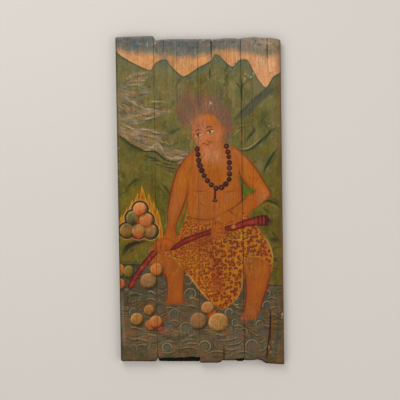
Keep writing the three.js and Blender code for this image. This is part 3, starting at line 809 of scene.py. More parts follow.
CONTOURS = [  # width, how strongly it shows, points: brown-red lines drawn over the flesh
    (2.6, 0.7, [(-18, 135), (-33, 127), (-45, 113), (-58, 94), (-68, 72), (-77, 44), (-84, 13),
    (-90, -20), (-93, -54), (-96, -79), (-106, -99)]),
    (2.6, 0.65, [(-29, 68), (-34, 40), (-37, 15), (-46, -10), (-56, -35), (-66, -63), (-70, -85),
    (-65, -105)]),
    (2.4, 0.6, [(94, 148), (113, 135), (135, 114), (157, 87), (174, 58), (190, 33), (198, 16), (190, 3),
    (167, -14), (144, -34)]),
    (2.4, 0.6, [(109, 100), (110, 77), (120, 54), (138, 35), (154, 25)]),
    (2.4, 0.6, [(153, 22), (134, 10), (114, -5), (91, -23), (69, -33), (52, -42)]),
    (2.4, 0.5, [(113, 61), (116, 33), (116, 2), (108, -18)]),
    (2.2, 0.45, [(-26, 29), (-3, 25), (22, 27)]), (2.2, 0.4, [(61, 22), (83, 23), (106, 30)]),
    (2.2, 0.5, [(-46, -41), (-24, -49), (4, -54), (35, -52), (57, -39)]),
    (2.0, 0.4, [(40, -8), (39, -25), (41, -36)]), (2.2, 0.35, [(18, 140), (6, 118), (1, 96)]),
    (1.8, 0.6, [(44, -81), (55, -80), (68, -83)]), (1.8, 0.6, [(40, -92), (54, -91), (66, -94)]),
    (1.8, 0.5, [(41, -102), (52, -102), (61, -105)]), (2.0, 0.5, [(71, -68), (82, -62), (96, -58)]),
    (1.8, 0.55, [(-123, -119), (-126, -132), (-129, -143)]),
    (1.8, 0.55, [(-112, -115), (-113, -131), (-115, -145)]),
    (1.8, 0.5, [(-99, -115), (-99, -129), (-101, -143)]), (1.8, 0.45,
    [(112, -317), (115, -329), (112, -334)]),
    (1.6, 0.45, [(123, -320), (126, -330), (124, -334)]), (1.6, 0.45,
    [(134, -321), (137, -330), (136, -335)]),
    (2.0, 0.5, [(74, -23), (85, -34), (99, -46)]), (1.8, 0.45, [(81, -29), (94, -40)]),
    (3, 0.6, [(-130, -184), (-113, -196), (-99, -215), (-96, -242), (-97, -267), (-98, -287)]),
    (3, 0.6, [(-62, -161), (-51, -175), (-48, -197), (-49, -225), (-51, -256), (-53, -287)]),
    (3, 0.6, [(118, -175), (121, -203), (125, -234), (125, -262), (123, -287), (116, -311), (109, -331)]),
    (3, 0.6, [(197, -181), (193, -212), (184, -244), (174, -274), (165, -301), (156, -326)]),
]
STAFF_BANDS = [(162, -47), (163, -72)], [(172, -45), (173, -72)], [(182, -47), (182, -72)]
CLOTH_TONES = [
    ((-35, -66), 18, "#a45f18", 0.7), ((18, -67), 12, "#ac7020", 0.6), ((110, -93), 18, "#b07a14", 0.75),
    ((143, -97), 14, "#9c6240", 0.7), ((76, -104), 16, "#94520e", 0.7), ((41, -174), 14, "#7d3a2e", 0.75),
    ((44, -202), 12, "#85381c", 0.75), ((35, -229), 14, "#98441a", 0.7), ((54, -235), 9, "#823828", 0.7),
    ((49, -258), 12, "#8c4014", 0.6), ((14, -112), 22, "#8a4616", 0.7), ((-3, -139), 20, "#894a18", 0.6),
    ((-25, -111), 20, "#8c4614", 0.7), ((-17, -173), 20, "#a46a22", 0.6), ((12, -246), 16, "#ad6e1e", 0.6),
    ((86, -213), 16, "#a3681e", 0.6), ((103, -180), 14, "#ab7a36", 0.6), ((171, -114), 14, "#a8743a", 0.6),
    ((-59, -172), 16, "#a87424", 0.6), ((64, -146), 14, "#9c6020", 0.5), ((57, -286), 14, "#a5611c", 0.6),
    ((28, -151), 10, "#8c442e", 0.6), ((110, -51), 14, "#a45c16", 0.6), ((-15, -212), 12, "#ab6e18", 0.6),
    ((129, -141), 16, "#9c6a22", 0.5), ((31, -101), 14, "#84400f", 0.6), ((-59, -138), 18, "#8f4c16", 0.5),
    ((151, -158), 12, "#9c6a2c", 0.5), ((79, -253), 14, "#9a6228", 0.5),
]
CLOTH_FRINGES = [
    (3.5, 0.75, [(-57, -181), (-40, -202), (-25, -222), (-10, -243), (6, -263), (23, -281), (37, -291)]),
    (3, 0.6, [(118, -175), (118, -208), (114, -239), (103, -268), (87, -288), (67, -302)]),
    (3.5, 0.7, [(173, -91), (186, -115), (197, -142), (201, -169), (198, -198)]),
    (2.5, 0.5, [(-93, -152), (-73, -162), (-58, -178)]),
    (2.5, 0.5, [(126, -164), (142, -158), (162, -160), (179, -170)]),
    (3, 0.6, [(56, -101), (79, -110), (104, -111), (129, -102), (143, -88)]),
    (2.2, 0.5, [(-45, -60), (-39, -44), (-36, -31)]),
]
BEADS = [(-8, 152), (-5, 132), (-2, 107), (2, 93), (10, 73), (20, 56), (31, 44), (43, 34), (57, 34),
    (70, 43), (80, 53), (83, 69), (83, 86), (83, 106), (81, 123), (78, 140), (74, 155)]
BEAD_SPACING = 15.8
BEAD_RADIUS = 7.4
PENDANT = [(42, 28), (41, 6)]


def rosettes(x, y, size, seed):
    """The nearest spot of a leopard's coat: how far its middle is, the bearing and a random number"""
    dice = np.random.default_rng(seed).uniform(0, 1, (3, 83, 79))
    i, j = np.floor(x / size).astype(int), np.floor(y / size).astype(int)
    best = np.full((3, len(x)), 1e9)
    for di in (-1, 0, 1):
        for dj in (-1, 0, 1):
            across, along, chance = dice[:, (i + di) % 83, (j + dj) % 79]
            dx = x - (i + di + 0.15 + 0.7 * across) * size
            dy = y - (j + dj + 0.15 + 0.7 * along) * size
            away = np.hypot(dx, dy)
            best = np.where(away < best[0], [away, np.arctan2(dy, dx), chance], best)
    return best


def paint_cloth(picture):
    found, depth = picture.area(CLOTH, rgb("#aa651c"), 1, 1.3, (rgb("#6e3a12"), 2.2, 0.4))
    for centre, reach, colour, cover in CLOTH_TONES:
        dx, dy = picture.x[found] - centre[0], picture.y[found] - centre[1]
        picture.lay(found, cover * np.exp(-(dx**2 + dy**2) / reach**2) * (depth > 0), rgb(colour))
    x, y = picture.x[found], picture.y[found]
    wavy = x + 3 * mottle(x, y, 22, 22, 61)
    for size, seed, share in ((12.5, 62, 1.0), (7.0, 64, 0.8)):
        away, bearing, chance = rosettes(wavy, y, size, seed)
        radius = size * (0.22 + 0.16 * chance)
        opening = np.cos(bearing - 6.28 * 7 * chance % 6.28) < 0.72
        ring = np.exp(-(((away - radius) / (size * 0.125)) ** 2)) * opening
        large = (mottle(x, y, 40, 40, 66) + (x - 30) / 90 - (y + 200) / 160 > 0)
        which = large if size > 10 else ~large
        cover = ring * which * (depth > 2) * share
        picture.lay(found, cover, rgb("#3c1a06"))
        picture.lay(found, (away < radius) * which * (depth > 2) * 0.6, rgb("#853c0d"))
    for width, cover, points in CLOTH_FRINGES:
        picture.line(points, width, rgb("#bd9350"), cover, (0.3, 0.3), 1.8)
        picture.line(np.add(points, (2.6, 2.2)), 1.8, rgb("#5c3110"), cover * 0.5, (0.3, 0.3), 1.5)


def paint_staff(picture):
    for piece in (STAFF_RIGHT, STAFF_MIDDLE, STAFF_LOWER):
        picture.area(piece, rgb("#2c0f0c"), 0.8, 2.6)
        found, depth = picture.area(piece, rgb("#7a2a1e"), 1, 1.3, (rgb("#3d0f0c"), 2.2, 0.95))
        x, y = picture.x[found], picture.y[found]
        streak = mottle(x + 2 * y, y - 0.4 * x, 14, 2.2, 69).clip(0, 1) + 0.5 * mottle(x, y, 5, 5, 70)
        middle = ((depth - 2.5) / 6).clip(0, 1)
        picture.lay(found, middle * (0.35 + 0.5 * streak).clip(0, 1), rgb("#9b4a40"))
        picture.lay(found, (depth > 1) * mottle(x, y, 12, 12, 72).clip(0, 1) * 0.35, rgb("#5a2430"))
    for band in STAFF_BANDS:
        picture.line(band, 3.4, rgb("#3c1110"), 0.85, (0, 0), 1.4, smooth=False)
    picture.glow((189, -60), 10, rgb("#2b1512"), 0.6)


def paint_hair(picture):
    picture.area(HAIR, rgb("#735440"), 0.8, 5)
    for tip, root, width, colour in LOCKS:
        tip, root = np.array(tip, float), np.array(root, float)
        along = root - tip
        side = np.array([along[1], -along[0]]) / np.hypot(*along) * width / 2
        outline = [tip, tip + along * 0.3 + side * 0.5, tip + along * 0.7 + side * 0.9, root + side,
                   root - side, tip + along * 0.7 - side * 0.9, tip + along * 0.3 - side * 0.5]
        picture.area(outline, rgb(colour), 0.72, 2.6)
        picture.line([tip, tip + along * 0.5, root], 2.6, rgb("#8a5a44"), 0.3, (0.5, 0.2), 2.2)
    for centre, reach, colour, cover in HAIR_TONES:
        picture.glow(centre, reach, rgb(colour), cover)
    dice = np.random.default_rng(71)
    middle = np.array(HEAD_MIDDLE, float)
    for _ in range(190):
        bearing = np.radians(dice.uniform(-8, 172))
        out = np.array([np.cos(bearing), np.sin(bearing)])
        start = middle + out * dice.uniform(42, 66)
        reach = dice.uniform(18, 40) * (0.5 + 0.7 * max(out[1], 0))
        strand = [start, start + out * reach * 0.4 + (0, reach * 0.25),
            start + out * reach * 0.55 + (0, reach * 0.7)]
        colour = ("#8f6148", "#5b4436", "#84503c", "#6b5b48")[dice.integers(4)]
        picture.line(strand, dice.uniform(1.8, 3.4), rgb(colour), 0.42, (0.3, 0.6), 1.8)


# The head: its parts are shares of its height from its middle, sideways and up
HEAD_MIDDLE = (22, 188)
HEAD_HEIGHT = 108
HEAD_TILT = 14  # degrees, its top leaning to the left
FACE = [(-0.37, 0.2), (-0.39, 0.04), (-0.36, -0.1), (-0.33, -0.24), (-0.25, -0.38), (-0.13, -0.49),
        (0.0, -0.52), (0.14, -0.47), (0.28, -0.36), (0.37, -0.2), (0.41, 0.0), (0.4, 0.2), (0.31, 0.38),
        (0.12, 0.48), (-0.1, 0.48), (-0.27, 0.38)]
FACE_LINE = -0.07  # the face's own middle, which lies left of the head's because it looks that way
EYES = [(-0.16, 0.0, 0.19), (0.16, 0.01, 0.23)]  # from the face's middle: across, up, width
FEATURES = [  # width in millimetres, colour, how strongly it shows, points
    (3.0, "#5a2f1c", 0.75, [(-0.24, 0.1), (-0.16, 0.145), (-0.06, 0.12)]),
    (3.2, "#5a2f1c", 0.8, [(0.05, 0.12), (0.15, 0.155), (0.27, 0.1)]),
    (2.0, "#7a3f22", 0.6, [(-0.035, 0.07), (-0.05, -0.05), (-0.075, -0.14), (-0.05, -0.18)]),
    (2.2, "#70361e", 0.7, [(-0.05, -0.18), (0.0, -0.175), (0.05, -0.18), (0.06, -0.145)]),
    (3.4, "#8c3f2c", 0.6, [(-0.09, -0.285), (-0.02, -0.275), (0.03, -0.28), (0.11, -0.285)]),
    (1.8, "#5d2a1a", 0.8, [(-0.11, -0.285), (-0.04, -0.295), (0.03, -0.29), (0.13, -0.28)]),
    (2.6, "#8f4a30", 0.45, [(-0.06, -0.325), (0.01, -0.335), (0.08, -0.325)]),
    (2.0, "#8a5230", 0.35, [(-0.02, -0.39), (0.03, -0.4), (0.08, -0.39)]),
    (2.0, "#8a5230", 0.3, [(0.02, 0.2), (0.03, 0.27), (0.02, 0.34)]),
    (2.0, "#8a5230", 0.35, [(0.1, -0.13), (0.15, -0.2), (0.17, -0.28)]),
]
EAR = [(0.4, 0.06), (0.46, 0.07), (0.49, 0.0), (0.47, -0.1), (0.43, -0.17), (0.39, -0.12)]


def on_head(points, line=0.0):
    tilt = np.radians(HEAD_TILT)
    u, v = (np.asarray(points, float) + (line, 0)).T * HEAD_HEIGHT
    x = HEAD_MIDDLE[0] + u * np.cos(tilt) - v * np.sin(tilt)
    y = HEAD_MIDDLE[1] + u * np.sin(tilt) + v * np.cos(tilt)
    return np.stack([x, y], 1)


def paint_head(picture):
    picture.area(on_head(EAR), rgb("#a25e38"), 0.9, 1.5, (rgb("#6e3b20"), 2.2, 0.7))
    picture.area(on_head(FACE), rgb("#aa653c"), 1, 2, (rgb("#7c4526"), 3.5, 0.5))
    for place, reach, colour, cover in (
        ((-0.12, 0.28), 26, "#a86a4c", 0.7), ((0.2, -0.12), 20, "#b16a40", 0.6),
        ((0.16, 0.3), 14, "#b26220", 0.6),
        ((-0.22, -0.12), 14, "#b37048", 0.5), ((-0.1, -0.42), 14, "#b67048", 0.5),
        ((0.32, 0.15), 16, "#9c5828", 0.5), ((0.1, 0.08), 12, "#9d5a34", 0.4),
        ((0.28, -0.3), 14, "#9a5630", 0.4), ((-0.13, -0.08), 9, "#bb7a52", 0.5),
    ):
        centre = on_head([place])[0]
        picture.glow(centre, reach, rgb(colour), cover)
    for across, up, width in EYES:
        left, right = across - width / 2, across + width / 2
        lids = [(left, up), (across - width * 0.2, up + width * 0.2),
            (across + width * 0.2, up + width * 0.2),
                (right, up + 0.005), (across + width * 0.15, up - width * 0.17),
                (across - width * 0.2, up - width * 0.15)]
        picture.area(on_head(lids, FACE_LINE), rgb("#c4a37c"), 0.95, 1.2)
        iris = on_head([(across - width * 0.06, up + width * 0.02)], FACE_LINE)[0]
        picture.spot(iris, width * HEAD_HEIGHT * 0.17, rgb("#6a5a30"), 0.95, 1.2)
        picture.spot(iris, width * HEAD_HEIGHT * 0.08, rgb("#2c1a10"), 0.95, 1.0)
        picture.line(on_head(lids[:4], FACE_LINE), 2.4, rgb("#4a2616"), 0.85, (0.2, 0.2), 1.2)
        picture.line(on_head([lids[0], lids[5], lids[4], lids[3]], FACE_LINE), 1.6, rgb("#7a4526"), 0.6,
            (0.2, 0.2), 1.2)
    dice = np.random.default_rng(73)
    for _ in range(90):  # the beard: thin pale strands from the chin down over the chest
        top = on_head([(dice.uniform(-0.2, 0.24), -0.36 - 0.16 * dice.uniform())], FACE_LINE)[0]
        length, lean = dice.uniform(14, 58), dice.uniform(-7, 7)
        strand = [top, top + (lean * 0.3, -length * 0.5), top + (lean, -length)]
        colour = ("#b67c54", "#bf8a62", "#935530", "#a56a45")[dice.integers(4)]
        picture.line(strand, dice.uniform(1.6, 3), rgb(colour), 0.28, (0.15, 0.6), 2)
    for side in (-1, 1):
        ends = [(side * 0.015, -0.225), (side * 0.08, -0.235), (side * 0.16, -0.262), (side * 0.21, -0.3)]
        picture.line(on_head(ends, FACE_LINE), 3, rgb("#4a3220"), 0.75, (0.1, 0.6), 1.3)
    for width, colour, cover, points in FEATURES:
        picture.line(on_head(points, FACE_LINE), width, rgb(colour), cover, (0.3, 0.3), 1.3)


def paint_beads(picture):
    string = curve(BEADS, steps=12)
    run = np.concatenate([[0], np.cumsum(np.hypot(*np.diff(string, axis=0).T))])
    picture.line(BEADS, 3, rgb("#3d1d0c"), 0.7, (0, 0))
    dice = np.random.default_rng(74)
    for at in np.arange(BEAD_SPACING / 2, run[-1], BEAD_SPACING):
        place = at + dice.uniform(-1.2, 1.2)
        centre = (np.interp(place, run, string[:, 0]), np.interp(place, run, string[:, 1]))
        radius = BEAD_RADIUS * dice.uniform(0.85, 1.05)
        picture.spot(centre, radius + 1.8, rgb("#9a6a4c"), 0.45, 1.4)
        picture.spot(centre, radius + 0.4, rgb("#2f1508"), 0.95, 1.5)
        picture.spot(centre, radius - 2.2, rgb("#573020"), dice.uniform(0.4, 0.9), 2.4)
        picture.spot(np.add(centre, (-1, 1.4)), 2, rgb("#8c7262"), dice.uniform(0.15, 0.6), 2.4)
    picture.line(PENDANT, 6, rgb("#43200d"), 0.9, (0, 0), 1.5)
    end = PENDANT[-1]
    picture.area([np.add(end, p) for p in ((0, 5), (4.5, -3), (7, -9), (0, -12), (-7, -9), (-4.5, -3))],
        rgb("#43200d"), 0.95)
    picture.spot(np.add(end, (0, -5.5)), 2.8, rgb("#7a5a48"), 0.8, 2)


def paint_figure(picture):
    paint_hair(picture)
    soft_rim = (rgb("#74330f"), 6, 0.55)
    for leg in (LEFT_LEG, RIGHT_LEG):
        picture.area(leg, rgb("#955020"), 1, 1.6, soft_rim)
    picture.area(TORSO, rgb("#a05a26"), 1, 1.6, soft_rim)
    picture.area(RIGHT_ARM, rgb("#a25b24"), 1, 1.5, soft_rim)
    picture.area(ARM_GAP, rgb("#59611f"), 0.95, 1.6, (rgb("#3e4218"), 4, 0.5))
    picture.area(LEFT_ARM, rgb("#a05a26"), 1, 1.5, soft_rim)
    for centre, reach, colour, cover in FLESH_TONES:
        picture.flesh_glow(centre, reach, rgb(colour), cover)
    paint_cloth(picture)
    picture.area(SIDE_GAP, rgb("#66641f"), 0.95, 1.4, (rgb("#3f3c14"), 3, 0.5))
    paint_staff(picture)
    for fist in FISTS:
        picture.area(fist, rgb("#9c5216"), 1, 2, (rgb("#74340e"), 4, 0.6))
    picture.area(RIGHT_ARM[14:19] + RIGHT_ARM[19:22], rgb("#9c5612"), 0.9, 4)
    picture.spot((92, -75), 6.5, rgb("#b07036"), 0.9, 1.5, 1.0, (rgb("#7a3c14"), 1.6, 0.6))
    paint_head(picture)
    for width, cover, points in CONTOURS:
        picture.line(points, width * 2.6, rgb("#7c3812"), cover * 0.45, (0.3, 0.35), 4)
        picture.line(points, width * 0.9, rgb("#572208"), cover, (0.3, 0.35), 1.5)
    paint_beads(picture)


# The wear of the boards. Joints and cracks are given by where they are at the top and the foot.
JOINTS = [(-124.4, -125.8, 1.4, 0.3), (-0.9, -7.4, 1.2, 0.2), (119.0, 117.4, 1.6, 0.5)]
CRACKS = [  # points, width and how dark
    ([(36.6, 452), (36.4, 420), (36.9, 390)], 2.2, 0.85), ([(59.5, -452), (59.8, -430), (59.2, -402)],
    2.2, 0.85),
    ([(150, 455), (150.4, 300), (149.5, 120), (148.5, -100), (148, -460)], 1.4, 0.35),
    ([(193.5, 455), (193, 410), (192.6, 365)], 1.8, 0.8), ([(193, -300), (191, -380), (190, -455)], 3, 0.5),
    ([(-61, 452), (-60.6, 300), (-62, 160)], 1.2, 0.35), ([(-96, 455), (-96.5, 420)], 1.6, 0.6),
    ([(78, 452), (78.4, 380), (79, 240)], 1.2, 0.3), ([(-170, 460), (-170.6, 380), (-171, 250)], 1.2, 0.3),
    ([(-64, -300), (-63.6, -440)], 1.4, 0.45), ([(-182, -250), (-182.5, -450)], 1.4, 0.4),
    ([(30, -350), (29.4, -455)], 1.3, 0.4), ([(88, -340), (88.6, -452)], 1.3, 0.4),
]
FLAKES_AND_GLINTS = [  # where the paint has come off in flakes, painted pale and bright as glints of the light on them: middle, spread across and along, number
    ((-143, 443), 4, 8, 9), ((-87, 451), 5, 2, 4), ((39, 449), 5, 2, 4), ((14, 449), 5, 3, 3),
    ((196, 437), 8, 7, 16), ((141, 346), 16, 6, 12), ((130, 354), 6, 4, 4), ((130, 338), 4, 3, 3),
    ((193, 205), 5, 3, 3), ((223, 205), 3, 3, 3), ((-120, 439), 8, 6, 5), ((215, 398), 4, 14, 4),
    ((90, 449), 10, 2, 4), ((30, 262), 22, 24, 12), ((178, 385), 12, 20, 5), ((-205, 418), 8, 5, 3),
    ((184, -408), 14, 30, 4), ((224, -340), 2, 50, 6), ((-226, 120), 2, 90, 6),
]


def paint_wear(picture):
    x, y = picture.x, picture.y
    everywhere = np.arange(len(x))
    # The grain shows through as fine upright streaks, and the ground is mottled with age
    streaks = 0.5 * mottle(x, y, 1.5, 26, 81) + 0.4 * mottle(x, y, 3.2, 60, 82) + 0.3 * mottle(x, y, 9,
        150, 83)
    specks = 0.55 * mottle(x, y, 1.3, 1.7, 84) + 0.4 * mottle(x, y, 2.8, 3.6, 85) + 0.3 * mottle(x, y, 7,
        8, 86)
    rough = 0.75 + 0.45 * ((y - 330) / 60).clip(0, 1) + 0.2 * mottle(x, y, 60, 60, 80)
    picture.colour *= 1 + (rough * (0.09 * streaks + 0.09 * specks))[:, None]
    hue = mottle(x, y, 7, 9, 87)[:, None] * np.array([0.022, -0.006, -0.016])
    picture.colour += hue + mottle(x, y, 20, 26, 88)[:, None] * np.array([0.014, 0.006, -0.008])
    scuffed = (mottle(x, y, 2.4, 5, 95) + 0.5 * mottle(x, y, 30, 40, 96) - 0.8).clip(0, 1) * 1.4
    picture.lay(everywhere, scuffed.clip(0, 0.3), rgb("#9c8a6c"))
    rubbed = (mottle(x, y, 1.8, 6, 97) + 0.5 * mottle(x, y, 34, 50, 98) - 0.85).clip(0, 1) * 1.4
    picture.lay(everywhere, rubbed.clip(0, 0.35), rgb("#33291a"))
    for top, foot, width, cover in JOINTS:
        picture.line([(top, 470), (foot, -470)], width, rgb("#241a10"), cover, (0, 0), 1.2, smooth=False)
    for points, width, cover in CRACKS:
        picture.line(points, width, rgb("#2a1d12"), cover, (0.1, 0.4), 1.0)
    # The top ends are rubbed down to the grey chalk ground and chipped, and their pale rim is also a painted
    # highlight of the lit top edge; the edges are grimed, and a thin near-black line along each foot is
    # painted shade under its lower edge.
    jag = 2.2 * mottle(x, y, 7, 7, 101) + 1.6 * mottle(x, y, 2.5, 2.5, 102)
    # a pale rim along the top ends: painted highlight of the lit edge over paint rubbed to the chalk ground
    rim = np.exp(-((picture.to_top / (4.2 + jag).clip(1, None)) ** 2))
    picture.lay(everywhere, rim * 0.85, rgb("#8d8078"))
    for gap, reach, colour, cover in (
        # the near-black line along the foot is painted shade under the lower edge; the wider brown band
        # there and the bands at the sides are grime
        (picture.to_foot, 9 + 2 * jag, "#57432c", 0.5), (picture.to_foot, 3 + 0.6 * jag, "#22170e", 0.85),
        (picture.to_left, 3.2 + 0.6 * jag, "#3c3826", 0.8), (picture.to_right, 15 + jag, "#5c4226", 0.4),
        (picture.to_right, 3.6 + 0.6 * jag, "#6a4a38", 0.8),
    ):
        picture.lay(everywhere, np.exp(-((gap / reach.clip(1, None)) ** 2)) * cover, rgb(colour))
    dice = np.random.default_rng(103)
    # pale flecks: flaked paint, painted bright as glints of the light
    for centre, across, along, number in FLAKES_AND_GLINTS:
        for _ in range(number):
            middle = np.array(centre) + dice.normal(0, 0.5, 2) * (across, along)
            lean = dice.uniform(-2.2, 2.2)
            tall = dice.uniform(1.5, 5.5)
            fleck = [middle + (lean, tall), middle, middle - (lean * 0.5, tall)]
            colour = ("#cfc8b8", "#a89a84", "#93866f")[dice.integers(3)]
            picture.line(fleck, dice.uniform(0.9, 2), rgb(colour), dice.uniform(0.4, 0.85), (0.3, 0.3), 1.0)


def paint_all(picture):
    paint_sky(picture)
    paint_mountains(picture)
    paint_falls(picture)
    paint_water(picture)
    paint_flames(picture)
    paint_jewels(picture, LOWER_JEWELS, JEWEL_BLUSHES)
    paint_figure(picture)
    paint_jewels(picture, FRONT_JEWEL, [])
    paint_wear(picture)


# The boards. Sizes are millimetres.
NODES = ["left_board", "second_board", "third_board", "right_board"]
THICKNESS = 22
WORN_ARRIS = 1.2
END_ZONE = 430  # the boards' ends lie further from the middle than this
GRID = 1.2  # the mesh's cells, each about half of the finest brush line
EDGE_STEPS = (0, 0.35, 0.9, 1.7)  # the mesh is finer along the edges, where they are worn round
RINGS = 6  # turns of the mesh from the front edge down to the back
# How far each board's left and right edges are worn: the joints that stayed tight are sharp
WEAR = {"left_board": (1.5, 0.25), "second_board": (0.25, 0.2), "third_board": (0.2, 0.45),
        "right_board": (0.45, 1.6)}
END_WEAR = 1.7
# Wood lost from the front of the lower ends, as in the model: the height where the front stops at
# the loss's left and right, then how deep it is
FRONT_LOSSES = {
    "second_board": (-0.1, 1.1, -439.5, -437.9, 10),
    "third_board": (0.79, 1.1, -444.5, -442.5, 8),
    "right_board": (0.52, 0.9, -455.5, -460.5, 5),
}
SPLITS = {  # share of the width, which end, mouth and length
    "third_board": [(0.312, 1, 1.2, 62), (0.538, -1, 1.2, 48)],
    "right_board": [(0.663, 1, 1.0, 90)],
}
SPLIT_DEPTH = 7
LOST_WOOD_IN_SHADE = "#1c120a"  # the bare wood in the losses: dark with dirt, and painted near black as the shade that falls in the recess
HAZE = 0.014  # the sheen that the studio lights add over the whole picture, taken off its colours


def unit_board(columns, rows):
    """A closed box one unit wide and long: a fine grid, turns of edge below it and a flat back"""
    bm = bmesh.new()
    bmesh.ops.create_grid(bm, x_segments=columns, y_segments=rows, size=0.5)
    edges = [edge for edge in bm.edges if edge.is_boundary]
    front = set(bm.faces)
    for _ in range(RINGS):
        made = bmesh.ops.extrude_edge_only(bm, edges=edges)["geom"]
        corners = [part for part in made if isinstance(part, bmesh.types.BMVert)]
        bmesh.ops.translate(bm, verts=corners, vec=(0, 0, -1))
        edges = [part for part in made if isinstance(part, bmesh.types.BMEdge) and part.is_boundary]
    bmesh.ops.edgeloop_fill(bm, edges=edges)
    bmesh.ops.recalc_face_normals(bm, faces=bm.faces)
    for face in bm.faces:
        face.material_index = 0 if face in front else 1
        face.smooth = face in front
    return bm


def ends_of(node):
    """The outline of a board's top and foot, each from left to right, from its solid"""
    corners = np.array([node.matrix_world @ v.co for v in node.data.vertices]) / MM
    rim = corners[abs(corners[:, 2] - WORN_ARRIS) < 0.02]
    rim = rim[rim[:, 0].argsort()]
    return rim[rim[:, 1] > END_ZONE, :2], rim[rim[:, 1] < -END_ZONE, :2]


def spread(share, count, length):
    """Where a line of the grid lies along a length: evenly, but close together at both ends"""
    number, few, inner = share * count, len(EDGE_STEPS) - 1, EDGE_STEPS[-1]
    even = inner + (number - few) * (length - 2 * inner) / (count - 2 * few)
    near = np.interp(number, range(few + 1), EDGE_STEPS)
    far = length - np.interp(count - number, range(few + 1), EDGE_STEPS)
    return np.where(number < few, near, np.where(number > count - few, far, even))


def worn(inset, radius):
    """How far an edge worn to a radius lies below the face, at a distance in from it"""
    across = (radius - inset).clip(0, None)
    return radius - np.sqrt((radius**2 - across**2).clip(0, None))


def step_to(value, line, reach):
    """Moves the grid lines beside a step up to it, so that the step is steep"""
    gap = value - line
    return np.where(abs(gap) < reach, line + np.sign(gap + 1e-9) * 0.15, value)


def board_mesh(name):
    top, foot = ends_of(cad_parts[name])
    columns = round((top[-1, 0] - top[0, 0]) / GRID)
    rows = round((top[:, 1].mean() - foot[:, 1].mean()) / GRID)
    bm = unit_board(columns, rows)
    mesh = bpy.data.meshes.new(name + "_painted")
    bm.to_mesh(mesh)
    bm.free()
    place = np.empty(len(mesh.vertices) * 3)
    mesh.vertices.foreach_get("co", place)
    s, t, ring = place.reshape(-1, 3).T
    s, t, ring = s + 0.5, t + 0.5, (-ring).round()
    y = foot[:, 1].mean() + t * (top[:, 1].mean() - foot[:, 1].mean())
    for _ in range(3):
        left = np.interp(y, (foot[0, 1], top[0, 1]), (foot[0, 0], top[0, 0]))
        right = np.interp(y, (foot[-1, 1], top[-1, 1]), (foot[-1, 0], top[-1, 0]))
        x = left + spread(s, columns, right - left)
        low, high = np.interp(x, *foot.T), np.interp(x, *top.T)
        y = low + spread(t, rows, high - low)
    share = (x - left) / (right - left)
    far = np.full_like(x, 1000)
    gaps = {
        "to_top": high - y, "to_foot": y - low,
        "to_left": x - left if name == NODES[0] else far,
        "to_right": right - x if name == NODES[-1] else far,
    }
    lost = np.zeros(x.shape, bool)

    # The front: worn edges, splits along the grain and the places where wood is lost
    jagged = 1 + 0.45 * mottle(x, y, 9, 9, 91) + 0.3 * mottle(x, y, 3.5, 3.5, 92)
    z = THICKNESS - worn(x - left, WEAR[name][0] * jagged) - worn(right - x, WEAR[name][1] * jagged)
    z -= worn(high - y, END_WEAR * jagged) + worn(y - low, END_WEAR * jagged)
    for across, end, mouth, length in SPLITS.get(name, []):
        middle = left + across * (right - left)
        inward = (high - y) if end > 0 else (y - low)
        open_part = (1 - inward / length).clip(0, 1)
        gap = x - middle
        centre = abs(gap) < 0.5 * GRID
        beside = (abs(gap) < 1.5 * GRID) & ~centre & (open_part > 0)
        x = np.where(centre & (open_part > 0), middle, x)
        x = np.where(beside, middle + np.sign(gap) * (0.25 + 0.5 * mouth * open_part), x)
        z = np.where(centre, z - SPLIT_DEPTH * open_part**0.5 * (open_part > 0), z)
    if name in FRONT_LOSSES:
        start, stop, from_left, from_right, depth = FRONT_LOSSES[name]
        along = (share - start) / (stop - start)
        line = from_left + (from_right - from_left) * along.clip(0, 1) + 0.7 * mottle(x, y, 6, 90, 93)
        within = (along > 0) & (along < 1)
        y = np.where(within, step_to(y, line, GRID * 0.8), y)
        lost = within & (y < line)
        z = np.where(lost, THICKNESS - depth + 0.6 * mottle(x, y, 2.2, 9, 94), z)

    # The sides go down from the front edge to the worn edge of the back
    level = (ring / (RINGS - 1)).clip(0, 1)
    z = z + (WORN_ARRIS - z) * level
    back = ring == RINGS
    z = np.where(back, 0, z)
    x = x + back * WORN_ARRIS * ((s < 1e-6) * 1.0 - (s > 1 - 1e-6) * 1.0)
    y = y + back * WORN_ARRIS * ((t < 1e-6) * 1.0 - (t > 1 - 1e-6) * 1.0)
    mesh.vertices.foreach_set("co", (np.stack([x, y, z], 1) * MM).ravel())
    mesh.update()
    mesh.set_sharp_from_angle(angle=math.radians(50))
    return mesh, {"x": x, "y": y, "lost": lost, **gaps}


def linear(colour):
    """sRGB numbers turned linear"""
    colour = np.asarray(colour, float)
    return np.where(colour <= 0.04045, colour / 12.92, ((colour + 0.055) / 1.055) ** 2.4)


def shade(text):
    return (*linear(rgb(text)), 1)


def node(tree, kind, inputs=None, **settings):
    """Adds a node. inputs gives the value of each socket, or the output that feeds it"""
    made = tree.nodes.new(kind)
    for name, value in settings.items():
        setattr(made, name, value)
    for socket, value in (inputs or {}).items():
        if isinstance(value, bpy.types.NodeSocket):
            tree.links.new(value, made.inputs[socket])
        else:
            made.inputs[socket].default_value = value
    return made


def new_material(name):
    material = bpy.data.materials.new(name)
    material.use_nodes = True
    tree = material.node_tree
    tree.nodes.clear()
    surface = node(tree, "ShaderNodeBsdfPrincipled")
    node(tree, "ShaderNodeOutputMaterial", {"Surface": surface.outputs["BSDF"]})
    return material, tree, surface


def in_mm(tree, across, along, deep):
    """Object coordinates for a pattern whose features are this many millimetres each way"""
    place = node(tree, "ShaderNodeTexCoord").outputs["Object"]
    scale = (1000 / across, 1000 / along, 1000 / deep)
    return node(tree, "ShaderNodeMapping", {"Vector": place, "Scale": scale}).outputs["Vector"]


